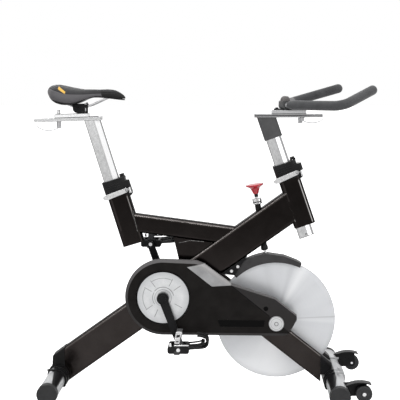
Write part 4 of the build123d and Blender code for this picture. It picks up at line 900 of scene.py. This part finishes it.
def saddle_padding():
    """The cushion itself, swelled as cloth over its foam, then marked with its seam."""
    bm = bmesh.new()
    rings = []
    low, high = SADDLE_TAIL + SADDLE_INSET, SADDLE_NOSE - SADDLE_INSET
    for step in range(SADDLE_STATIONS + 1):
        x = low + (high - low) * (0.5 - 0.5 * cos(pi * (step / SADDLE_STATIONS)))
        rings.append([bm.verts.new(at(x, y, z)) for y, z in saddle_ring(x, SADDLE_INSET)])
    skin(bm, rings)
    made = piece("saddle_cushion", bm, "saddle", "saddle_cover", smooth=None)
    remesh = made.modifiers.new("even", "REMESH")
    remesh.mode = "VOXEL"
    remesh.voxel_size = 4.0 * MM
    apply_modifiers(made)
    swell(made)
    soften(made)
    mark_seam(made)
    made.data.shade_smooth()
    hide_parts("saddle_pad")


def swell(made):
    """Short cloth run under inner pressure; no point moves more than SWELL_MOST millimetres."""
    start = [v.co.copy() for v in made.data.vertices]
    held = made.vertex_groups.new(name="held")
    held.add([v.index for v in made.data.vertices if v.normal.z < -0.6], 1.0, "REPLACE")
    cloth = made.modifiers.new("cloth", "CLOTH").settings
    cloth.quality = 6
    cloth.use_pressure = True
    cloth.uniform_pressure_force = SWELL_PRESSURE
    cloth.effector_weights.gravity = 0.0
    cloth.vertex_group_mass = "held"
    scene = bpy.context.scene
    for step in range(SWELL_FRAMES):
        scene.frame_set(step + 1)
    after = made.evaluated_get(bpy.context.evaluated_depsgraph_get()).data
    moved = [v.co.copy() for v in after.vertices]
    made.modifiers.clear()
    limit = SWELL_MOST * MM
    for vertex, before, now in zip(made.data.vertices, start, moved):
        shift = now - before
        if shift.length > limit:
            shift *= limit / shift.length
        vertex.co = before + shift
    scene.frame_set(1)


SEAM_LINE = [(-26, 1064), (-11, 1062), (17, 1053.5), (45, 1045.4), (72, 1043.2), (103, 1043.0), (138, 1045),
             (172, 1046), (215, 1046), (247, 1027)]


def mark_seam(made):
    """Stores each point's distance below the seam, its place along the saddle and its rise from the hem."""
    names = ("seam", "along", "rise")
    for name in names:
        made.data.attributes.new(name, "FLOAT", "POINT")
    seam, along, rise = (made.data.attributes[name].data for name in names)
    for i, vertex in enumerate(made.data.vertices):
        x, z = (vertex.co.x - ORIGIN) / MM, vertex.co.z / MM
        seam[i].value = (curve_at(SEAM_LINE, x) - z) * 0.8
        along[i].value = x
        rise[i].value = z - curve_at(SADDLE_HEM, min(max(x, SADDLE_TAIL), SADDLE_NOSE))


# --- Handlebar grips --------------------------------------------------------------------------------
BAR_ROOT = (803.0, 0.0, 1006.0)
BAR_TURN, BAR_PITCH = 18.4, 2.0
BAR_ROOT_Y = 15.0
BAR_BEND = (114.0, 228.0, 7.0)
BAR_TIP = (258.6, 144.0, 61.7)
BAR_BEND_RADIUS = 38.0
GRIP_RADIUS = 16.5
GRIP_START = 8.0


def bar_place(x, y, z):
    """A point of the bar's own frame, in metres in the model's frame."""
    turned_point = Euler((0, 0, radians(BAR_TURN))).to_matrix() @ Vector((x, y, z))
    turned_point = Euler((0, radians(BAR_PITCH), 0)).to_matrix() @ turned_point
    return at(*(turned_point + Vector(BAR_ROOT)))


def grip_path(side_of):
    """Centre line of one grip: straight out, round the bend and on to the tip."""
    root = Vector((0, side_of * BAR_ROOT_Y, 0))
    bend, tip = (Vector((x, side_of * y, z)) for x, y, z in (BAR_BEND, BAR_TIP))
    first, second = (root - bend).normalized(), (tip - bend).normalized()
    root = root - first * GRIP_START
    half = first.angle(second) / 2
    back = BAR_BEND_RADIUS / tan(half)
    centre = bend + (first + second).normalized() * (BAR_BEND_RADIUS / sin(half))
    start, stop = bend + first * back, bend + second * back
    a, b = start - centre, stop - centre
    cross, whole = a.cross(b).normalized(), a.angle(b)
    points = [root.lerp(start, i / 24) for i in range(24)]
    points += [centre + Quaternion(cross, whole * i / 18) @ a for i in range(19)]
    return points + [stop.lerp(tip, i / 16) for i in range(1, 17)]


def grip(name, side_of):
    """Foam sleeve over one arm of the bar, tapered at its root and domed at its end."""
    points = grip_path(side_of)
    centre = points[-1]
    end = (centre - points[-2]).normalized()
    path = [bar_place(*p) for p in points]
    radii = [1.0] * len(path)
    radii[:4] = 0.74, 0.88, 0.95, 0.985
    for step in range(1, 9):
        turn = radians(90.0 * step / 8)
        path.append(bar_place(*(centre + end * GRIP_RADIUS * sin(turn))))
        radii.append(max(cos(turn), 0.02))

    def section(share):
        return circle(GRIP_RADIUS * MM * radii[round(share * (len(path) - 1))], 40)

    bm = bmesh.new()
    swept(bm, path, section)
    for vertex in bm.verts:
        wave = noise.noise(vertex.co * 42.0) * 0.28 + noise.noise(vertex.co * 160.0) * 0.10
        vertex.co += vertex.normal * wave * MM
    made = piece(name, bm, "bar", "foam", smooth=60.0)
    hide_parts("handlebar_foam")


def grips():
    grip("grip_right", -1)
    grip("grip_left", 1)


# --- Flywheel ---------------------------------------------------------------------------------------
def flywheel():
    """Turned disc with a hub, a shallow web and a rounded rim."""
    half = [(8.6, 21.8), (30.5, 21.8), (33.0, 20.4), (33.8, 17.5), (34.0, 12.5), (38.0, 11.4), (44.0, 11.2),
            (188.0, 11.2), (190.5, 11.9), (207.6, 11.9), (209.6, 11.2), (210.5, 9.8)]
    profile = half + [(radius, -along) for radius, along in half[::-1]]
    disc = lathe("flywheel_disc", profile, at(WHEEL[0], 0, WHEEL[1]), "flywheel_set", "flywheel_steel",
                 (0.0, 1.0, 0.0), 180, 24.0)
    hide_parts("flywheel")


# --- Stem, saddle fittings, levers and welds --------------------------------------------------------
def lathe(name, profile, place, body, material, axis=(0.0, 0.0, 1.0), steps=48, smooth=35.0):
    bm = bmesh.new()
    turned(bm, profile, place, axis, steps)
    return piece(name, bm, body, material, smooth=smooth)


def shaped(name, outline, low, high, body, material, place=None, bevel=1.5, levels=1):
    """Plate between two distances across the bike, with softened edges."""
    bm = bmesh.new()
    plate(bm, outline, low, high, place)
    made = piece(name, bm, body, material, smooth=30.0)
    soften(made, levels, bevel)
    return made


def ribbon(name, path, section, up, body, material="black_plastic", closed=False, smooth=45.0):
    """A section swept along a path, with one direction kept upward."""
    bm = bmesh.new()
    swept(bm, path, section, closed, [Vector(up)] * len(path))
    return piece(name, bm, body, material, smooth)


def box_of(low, high, bottom, top):
    return [(low, bottom), (high, bottom), (high, top), (low, top)]


# Outlines of the fittings, in millimetres. Turned ones are (radius, distance along the axis).
STEM_BOOT = [(0, 1036.8), (6, 1036.4), (11, 1034.4), (14.6, 1030.6), (16.6, 1025.0), (17.4, 1018.5),
             (17.6, 1010.0), (17.2, 1000.0), (16.0, 992.0), (13.2, 987.0), (0, 986.6)]
TILT_SCREW = [(0, 0), (2.6, 0), (2.6, 23.5), (5.2, 23.5), (5.2, 25.0), (3.6, 25.0), (3.6, 28.12),
              (2.88, 28.84), (0, 29.0)]
CHEEK = [(63, 1009.5), (105, 1009.5), (106, 978), (104, 976), (76, 976), (66, 983), (62.5, 991)]
TILT_STAY = [(111.5, 976), (116.5, 976), (117.0, 1012), (114.0, 1016), (111.5, 1014)]
SIDES = ((-1, "near"), (1, "far"))


def stem_boot():
    """Soft rounded boot over the top of the stem."""
    boot = lathe("stem_boot", STEM_BOOT, at(802.2, 0, 0), "bar", "boot_rubber", smooth=60.0)
    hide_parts("stem_cap")


def saddle_fittings():
    """Cheek plates of the saddle clamp and the upright screw in front of them."""
    for side_of, side in SIDES:
        low, high = sorted((side_of * 19.0, side_of * 28.5))
        shaped(f"clamp_cheek_{side}", CHEEK, low, high, "saddle", "bracket_black", bevel=2.0)
        for x, z, radius in ((84.0, 992.0, 7.5), (71.5, 1003.5, 3.2), (98.0, 982.0, 3.0)):
            bolt = [(0, 0), (radius, 0), (radius, 1.6), (0.8 * radius, 2.4), (0.42 * radius, 2.4),
                    (0.38 * radius, 1.2), (0, 1.2)]
            lathe(f"cheek_bolt_{x:.0f}_{side}", bolt, at(x, side_of * 28.4, z), "saddle", "bracket_black",
                  (0, side_of, 0), 32)
    lathe("tilt_screw", TILT_SCREW, at(109.0, -25.0, 984.0), "saddle", "bright_steel")
    shaped("tilt_stay", TILT_STAY, -29.0, -20.0, "saddle", "bracket_black", bevel=1.2)


BAND = [(-50.5, 183), (-45, 178), (-33, 176.8), (34, 183), (40.5, 184.6), (44.6, 188), (45.6, 191.8),
        (43.6, 196), (38.5, 198.6), (33, 198.6), (-33, 194.8), (-45, 193.2), (-50.5, 190)]
BAND_PIVOT = [(0, 0), (5.4, 0), (5.4, 1.4), (4.8, 2.2), (3.9, 2.4), (3.7, 0.9), (2.6, 0.9),
              (2.4, 2.0), (0, 2.2)]
BAND_RING = [(5.5, -0.2), (6.3, -0.2), (6.3, 0.7), (5.5, 0.7)]
PIVOT_PLACE = (38.4, -38.0, 191.4)


def lever_bands():
    """Flat quick-release levers along the collars, each with a rounded front end and its pivot screw."""
    for name, tube, forward, raised, tilt in (("seat", SEAT_TUBE, 0.0, 0.0, 0.0),
                                              ("head", HEAD_TUBE, -4.2, -4.6, 0.012)):
        def place(ahead, y, up):
            return tube_at(tube, ahead + forward, y, up + raised + tilt * ahead)

        body = f"{name}_cam"
        band = shaped(f"{name}_lever_band", BAND, -38.2, -32.2, body, "band_steel", place, 0.8, levels=0)
        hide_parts(f"{name}_quick_lever")
        for part, profile, metal in (("pivot", BAND_PIVOT, "bright_steel"),
                                     ("ring", BAND_RING, "bracket_black")):
            lathe(f"{name}_lever_{part}", profile, place(*PIVOT_PLACE), body, metal, (0, -1, 0), 40)


COLLAR_NOSE = [(30, 165.5), (42.5, 166), (48.5, 169.5), (52, 176), (52, 190), (50.5, 200), (48, 208.5),
               (43.5, 213), (36, 214.5), (30, 214.5)]
COLLAR_SCREW = [(0, 0), (1.5, 0), (1.5, 13.0), (2.2, 13.5), (2.2, 15.5), (0, 16)]
COLLAR_TAB = [(24, 214), (38, 214), (39.5, 226), (44, 237), (42.5, 240.6), (26.5, 242.5), (24, 239)]


def collar_details():
    """Rounded nose, top tab, screw and ribs of the two plastic collars."""
    for name, tube, shift in (("seat", SEAT_TUBE, 0.0), ("head", HEAD_TUBE, -4.0)):
        def place(ahead, y, up):
            return tube_at(tube, ahead, y, up + shift)

        shaped(f"{name}_collar_nose", COLLAR_NOSE, -21.0, 21.0, "frame", "black_plastic", place, bevel=4.0)
        shaped(f"{name}_collar_tab", COLLAR_TAB, -13.0, 13.0, "frame", "black_plastic", place, bevel=1.5)
        lean = radians(tube[2])
        lathe(f"{name}_collar_screw", COLLAR_SCREW, place(31.0, -14.2, 222.0), "frame", "bright_steel",
              (-sin(lean), 0, cos(lean)), 24)
        for up in (205.0, 213.0, 221.0):
            rib = box_of(-36, 20, up, up + 2.2)
            shaped(f"{name}_collar_rib_{up:.0f}", rib, -32.4, -30.6, "frame", "black_plastic", place, 0.6)


def bead(name, points, radius):
    """Weld bead along a line, with the ripples of the run."""
    path = []
    for a, b in zip(points, points[1:]):
        a, b = Vector(a), Vector(b)
        steps = max(2, round((b - a).length / 1.2))
        path += [a.lerp(b, i / steps) for i in range(steps)]
    path.append(Vector(points[-1]))

    def section(share):
        return circle(radius * (1.0 + 0.16 * sin(share * len(path) * 1.7)) * MM, 10)

    ribbon(name, [at(*point) for point in path], section, (0, -1, 0.2), "frame", "weld",
           smooth=60.0)


# Each weld bead: its radius, and points of it as x, distance to the side, z.
WELDS = {
    "head": (1.5, ((799.5, 28.4, 697.0), (812.0, 28.4, 668.0), (829.5, 28.4, 630.0), (840.0, 28.4, 600.0))),
    "seat": (1.3, ((271.4, 26.4, 636.0), (278.1, 26.4, 600.0), (286.5, 26.4, 562.0))),
    "gusset": (1.5, ((432.0, 23.6, 522.0), (470.0, 23.8, 531.0), (520.0, 23.8, 527.0))),
}


def welds():
    for side_of, side in SIDES:
        for name, (radius, points) in WELDS.items():
            bead(f"weld_{name}_{side}", [(x, side_of * y, z) for x, y, z in points], radius)


# --- Brake details ----------------------------------------------------------------------------------
BRAKE_LEAN = 9.18
BRAKE_AXIS = (-sin(radians(BRAKE_LEAN)), 0, cos(radians(BRAKE_LEAN)))
BRAKE_COLLAR = [(7.4, 0), (15.4, 0), (16.6, 1.2), (16.6, 5.0), (15.2, 6.2), (15.2, 8.2), (16.6, 9.4),
                (16.6, 18.0), (15.4, 19.4), (8.0, 19.9), (7.4, 19.7)]
BRAKE_SLEEVE = [(5.0, 0), (6.6, 0.6), (6.9, 3.0), (6.9, 15.0), (5.0, 15.0)]
BRAKE_BOOT = [(5.8, 1.0), (10.8, 0), (12.2, 2.0), (13.0, 7.0), (12.4, 13.0), (10.8, 17.0), (5.8, 16.0)]


def brake_at(distance):
    """A point on the brake's axis, by its distance from the flywheel's centre."""
    return at(WHEEL[0] + distance * BRAKE_AXIS[0], 0, WHEEL[1] + distance * BRAKE_AXIS[2])


def brake_details():
    """Silver collar round the guide, a sleeve under the knob and a boot at the guide's lower end."""
    for part, profile, distance, body, material, steps in (
            ("collar", BRAKE_COLLAR, 416.0, "frame", "bright_steel", 64),
            ("sleeve", BRAKE_SLEEVE, 440.5, "knob", "black_plastic", 40),
            ("boot", BRAKE_BOOT, 250.0, "frame", "black_plastic", 40)):
        lathe(f"brake_{part}", profile, brake_at(distance), body, material, BRAKE_AXIS, steps)


# --- Toe clips --------------------------------------------------------------------------------------
CLIP_PATH = [(28, 1.5), (52, 3.5), (74, 5.0), (88, 7.5), (96, 13.0), (99, 22), (98.5, 30), (95, 38.5),
             (85, 43.5), (74, 45.5), (64, 47)]
ROD_PATH = [(34, 13.0), (52, 14.5), (68, 17.0), (82, 20.5)]
CLIP_HALF = 19.0
# Bridges between the two bars of a clip: each spans the x-z distance between two points.
BRIDGES = {"front": ((98.5, 20.0), (97.0, 36.0)), "top": ((84.0, 43.5), (66.0, 46.5)),
           "root": ((36.0, 2.0), (28.0, 1.5))}
CLIP_STOP = [(0, -27), (4.4, -26.4), (6.8, -24), (7.4, -19), (6.8, -14), (4.0, -11), (4.0, 11), (6.8, 14),
             (7.4, 19), (6.8, 24), (4.4, 26.4), (0, 27)]
BUCKLE = {
    "roller": [(-8, 54), (11, 54), (13.5, 57), (13.5, 62), (11, 64.5), (-5, 64.5), (-8, 61)],
    "rear_rail": [(-12, 43), (-7.5, 43), (-3.5, 55), (-8, 55)],
    "front_rail": [(4, 43), (8.0, 43), (12.0, 55), (8, 55)],
    "plate": [(-12.5, 24), (4.5, 24), (7.5, 42.5), (4, 44.5), (-9, 44.5), (-12.5, 40)],
    "side_strip": [(-14.0, 15.5), (36.0, 15.5), (36.0, 20.0), (-14.0, 20.0)],
    "rear_strip": [(-31.0, 14.0), (-22.0, 13.0), (-23.0, 25.0), (-30.0, 26.0)],
}
BUCKLE_SLIT = [(-8, 29), (1.5, 29), (2.5, 33), (-7, 33)]
STRAP_GUSSET = [(-13, 17), (19.5, 17), (9.5, 41), (-8, 43)]
STRAP_LOOP = [(-35.0, -16.5), (35.0, -16.5), (35.6, 0), (37.5, 18), (34.0, 40), (20.0, 58), (-20.0, 60),
              (-31.0, 40), (-35.4, 18), (-35.6, 0)]


def smoothed(points, steps=6, closed=False):
    """Catmull-Rom curve through points of any dimension."""
    points = [Vector(point) for point in points]
    count = len(points)
    result = []
    for i in range(count if closed else count - 1):
        places = range(i - 1, i + 3)
        a, b, c, d = (points[k % count if closed else min(max(k, 0), count - 1)] for k in places)
        square, cube = 2 * a - 5 * b + 4 * c - d, 3 * b - a - 3 * c + d
        for step in range(steps):
            t = step / steps
            result.append(0.5 * (2 * b + (c - a) * t + square * t ** 2 + cube * t ** 3))
    if not closed:
        result.append(points[-1])
    return result


def slab(width, thick, round_off=0.35):
    """Rounded rectangle section, in metres."""
    w, t, r = width / 2 * MM, thick / 2 * MM, thick * round_off * MM
    half = [(w - r, -t), (w, -t + r), (w, t - r), (w - r, t)]
    return [(-w + r, -t), *half, (-w + r, t), (-w, t - r), (-w, -t + r)]


def toe_clip(name, centre_x, centre_z, side_of, body, node):
    """Cage of two bars with a bridge, a woven strap and a steel buckle."""
    middle = side_of * (PEDAL_INNER + PEDAL_WIDTH / 2)
    across = (0, 1, 0)

    def point(x, y, z):
        return at(centre_x + x, middle + y, centre_z + z)

    def outside(x, y, z):
        return point(x, side_of * (41.5 + y - 0.12 * max(0.0, z - 24.0)), z)

    made = []
    for step, offset in enumerate((-CLIP_HALF, CLIP_HALF)):
        bar = [point(*p) for p in smoothed([(x, offset * (1.0 - 0.18 * max(0.0, z) / 47.0), z)
                                            for x, z in CLIP_PATH])]
        made.append(ribbon(f"{name}_bar_{step}", bar, slab(10.0, 11.5), across, body))
    for step, offset in enumerate((-CLIP_HALF, CLIP_HALF)):
        rod = [point(x, offset, z) for x, z in smoothed(ROD_PATH)]
        made.append(ribbon(f"{name}_rod_{step}", rod, slab(6.0, 4.6), across, body))
    for part, ((x0, z0), (x1, z1)) in BRIDGES.items():
        path = [point((x0 + x1) / 2, y, (z0 + z1) / 2) for y in (-CLIP_HALF, -10.0, 0.0, 10.0, CLIP_HALF)]
        up = Vector((-(z1 - z0), 0, x1 - x0)).normalized()
        made.append(ribbon(f"{name}_bridge_{part}", path, slab(hypot(x1 - x0, z1 - z0), 4.5), up, body))
    made.append(lathe(f"{name}_stop", CLIP_STOP, point(83.0, 0, 19.5), body, "black_plastic", across, 28))
    loop = [point(max(0.0, z) * 0.14 - 5.0, side_of * y, z) for y, z in smoothed(STRAP_LOOP, 5, True)]
    made.append(ribbon(f"{name}_strap", loop, slab(2.2, 19.0, 0.05), (1, 0, 0), body, "webbing",
                       closed=True))
    for part, outline in BUCKLE.items():
        made.append(shaped(f"{name}_{part}", outline, -1.0, 2.5, body, "bright_steel", outside, 1.0))
    # Painted shade: a dark piece where the buckle's slit is.
    made.append(shaped(f"{name}_slit", BUCKLE_SLIT, 2.0, 3.2, body, "bracket_black", outside, 0.3))
    made.append(shaped(f"{name}_strap_edge", STRAP_GUSSET, -3.5, -1.4, body, "webbing", outside, 0.6))
    for part in made:
        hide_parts(node)


PIN_SLEEVE = [(4.4, 0), (7.2, 0), (7.8, 0.8), (7.8, 6.0), (6.9, 6.8), (6.9, 8.4), (7.8, 9.2), (7.8, 18.4),
              (7.2, 19.2), (4.4, 19.2)]


def rail_fittings():
    """Dark caps at the rails' ends, the scale strip and the sleeve of the bar's pin."""
    high = RAIL_THICK
    scale = box_of(66.0, 104.0, high - 0.4, high + 1.4)
    shaped("seat_rail_scale", scale, -14.0, 14.0, "seat_mast", "bracket_black",
           partial(tube_at, SEAT_RAIL), 0.4)
    for name, rail in (("seat", SEAT_RAIL), ("bar", BAR_RAIL)):
        for end, low in (("rear", -RAIL_HALF + 0.1), ("front", RAIL_HALF - 2.6)):
            shaped(f"{name}_rail_cap_{end}", box_of(low, low + 2.6, -0.2, high + 0.3), -21.0, 21.0,
                   f"{name}_mast", "bracket_black", partial(tube_at, rail), 0.8)
    lathe("bar_pin_sleeve", PIN_SLEEVE, at(855.0, 0, 942.5), "bar_carriage", "plain_steel", steps=40)


def toe_clips():
    dx, dz = PEDAL_X - CRANK[0], PEDAL_Z - CRANK[1]
    for side, side_of in (("right", -1), ("left", 1)):
        toe_clip(f"clip_{side}", CRANK[0] - side_of * dx, CRANK[1] - side_of * dz, side_of, f"{side}_pedal",
                 f"toe_cage_{side}")


# --- Stage, light and camera ------------------------------------------------------------------------
CAMERA_PLACE = (635.9, -3658.1, 1092.2)
CAMERA_YAW, CAMERA_PITCH = -0.0356, 0.1143
FOCAL_PIXELS, IMAGE_PIXELS = 1045.6, 400.0
SENSOR = 36.0
WHITE = (1.0, 1.0, 1.0)
WORLD_LIGHT = 0.55      # strength of the white surroundings as a light


def camera():
    data = bpy.data.cameras.new("camera")
    data.sensor_width = SENSOR
    data.lens = FOCAL_PIXELS / IMAGE_PIXELS * SENSOR
    data.clip_end = 100.0
    made = linked("camera", data)
    made.location = at(*CAMERA_PLACE)
    level = cos(CAMERA_PITCH)
    aim(made, Vector((sin(CAMERA_YAW) * level, cos(CAMERA_YAW) * level, -sin(CAMERA_PITCH))))
    bpy.context.scene.camera = made


def aim(made, forward):
    made.rotation_mode = "QUATERNION"
    made.rotation_quaternion = forward.to_track_quat("-Z", "Y")


def world():
    """Even white surroundings: full white where they are seen or mirrored, softer as a light."""
    made = bpy.data.worlds.new("studio")
    bpy.context.scene.world = made
    made.use_nodes = True
    tree = made.node_tree
    shade = tree.nodes["Background"]
    shade.inputs["Color"].default_value = (*WHITE, 1.0)
    path = tree.nodes.new("ShaderNodeLightPath").outputs
    seen = path["Is Camera Ray"]
    for ray in ("Is Transmission Ray", "Is Glossy Ray"):
        either = tree.nodes.new("ShaderNodeMath")
        either.operation = "MAXIMUM"
        tree.links.new(seen, either.inputs[0])
        tree.links.new(path[ray], either.inputs[1])
        seen = either.outputs[0]
    strength = tree.nodes.new("ShaderNodeMapRange")
    strength.inputs["To Min"].default_value = WORLD_LIGHT
    tree.links.new(seen, strength.inputs["Value"])
    tree.links.new(strength.outputs[0], shade.inputs["Strength"])


def lamp(name, place, target, size, power):
    data = bpy.data.lights.new(name, "AREA")
    data.shape = "RECTANGLE"
    data.size, data.size_y = size
    data.energy = power
    made = linked(name, data)
    made.location = place
    aim(made, Vector(target) - Vector(place))


def floor():
    """Pale floor that stays white to the camera and still takes the bike's soft shadow."""
    bm = bmesh.new()
    bmesh.ops.create_grid(bm, x_segments=8, y_segments=8, size=40.0)
    mesh = bpy.data.meshes.new("floor")
    bm.to_mesh(mesh)
    bm.free()
    made = linked("floor", mesh)
    look = Look("floor", (0.86, 0.86, 0.86), 0.9)
    look.tones(3.0, (0.85, 0.85, 0.85), (0.87, 0.87, 0.87))
    path = look.node("ShaderNodeLightPath").outputs
    look.set("Emission Color", (*WHITE, 1.0))
    look.link(look.larger(path["Is Camera Ray"], path["Is Transmission Ray"]), "Emission Strength")
    mesh.materials.append(look.mat)


LAMPS = {
    "overhead": ((0.0, -0.2, 3.0), (0.0, 0.0, 0.4), (3.4, 1.6), 30.0),
    "front": ((-1.6, -3.4, 2.0), (0.0, 0.0, 0.5), (2.0, 2.0), 20.0),
    "right": ((2.8, -1.4, 1.5), (0.0, 0.0, 0.6), (1.6, 2.2), 14.0),
    "strip_front": ((0.0, -1.7, 2.6), (0.0, 0.0, 0.5), (6.0, 0.12), 34.0),
    "strip_back": ((0.0, 1.9, 2.4), (0.0, 0.0, 0.5), (6.0, 0.12), 24.0),
}


def lights():
    for name, values in LAMPS.items():
        lamp(name, *values)


def main():
    camera()
    world()
    floor()
    lights()
    dress_nodes()
    saddle_padding()
    grips()
    flywheel()
    stem_boot()
    saddle_fittings()
    lever_bands()
    collar_details()
    welds()
    brake_details()
    toe_clips()
    rail_fittings()


main()
bpy.context.scene.view_settings.view_transform = "Standard"
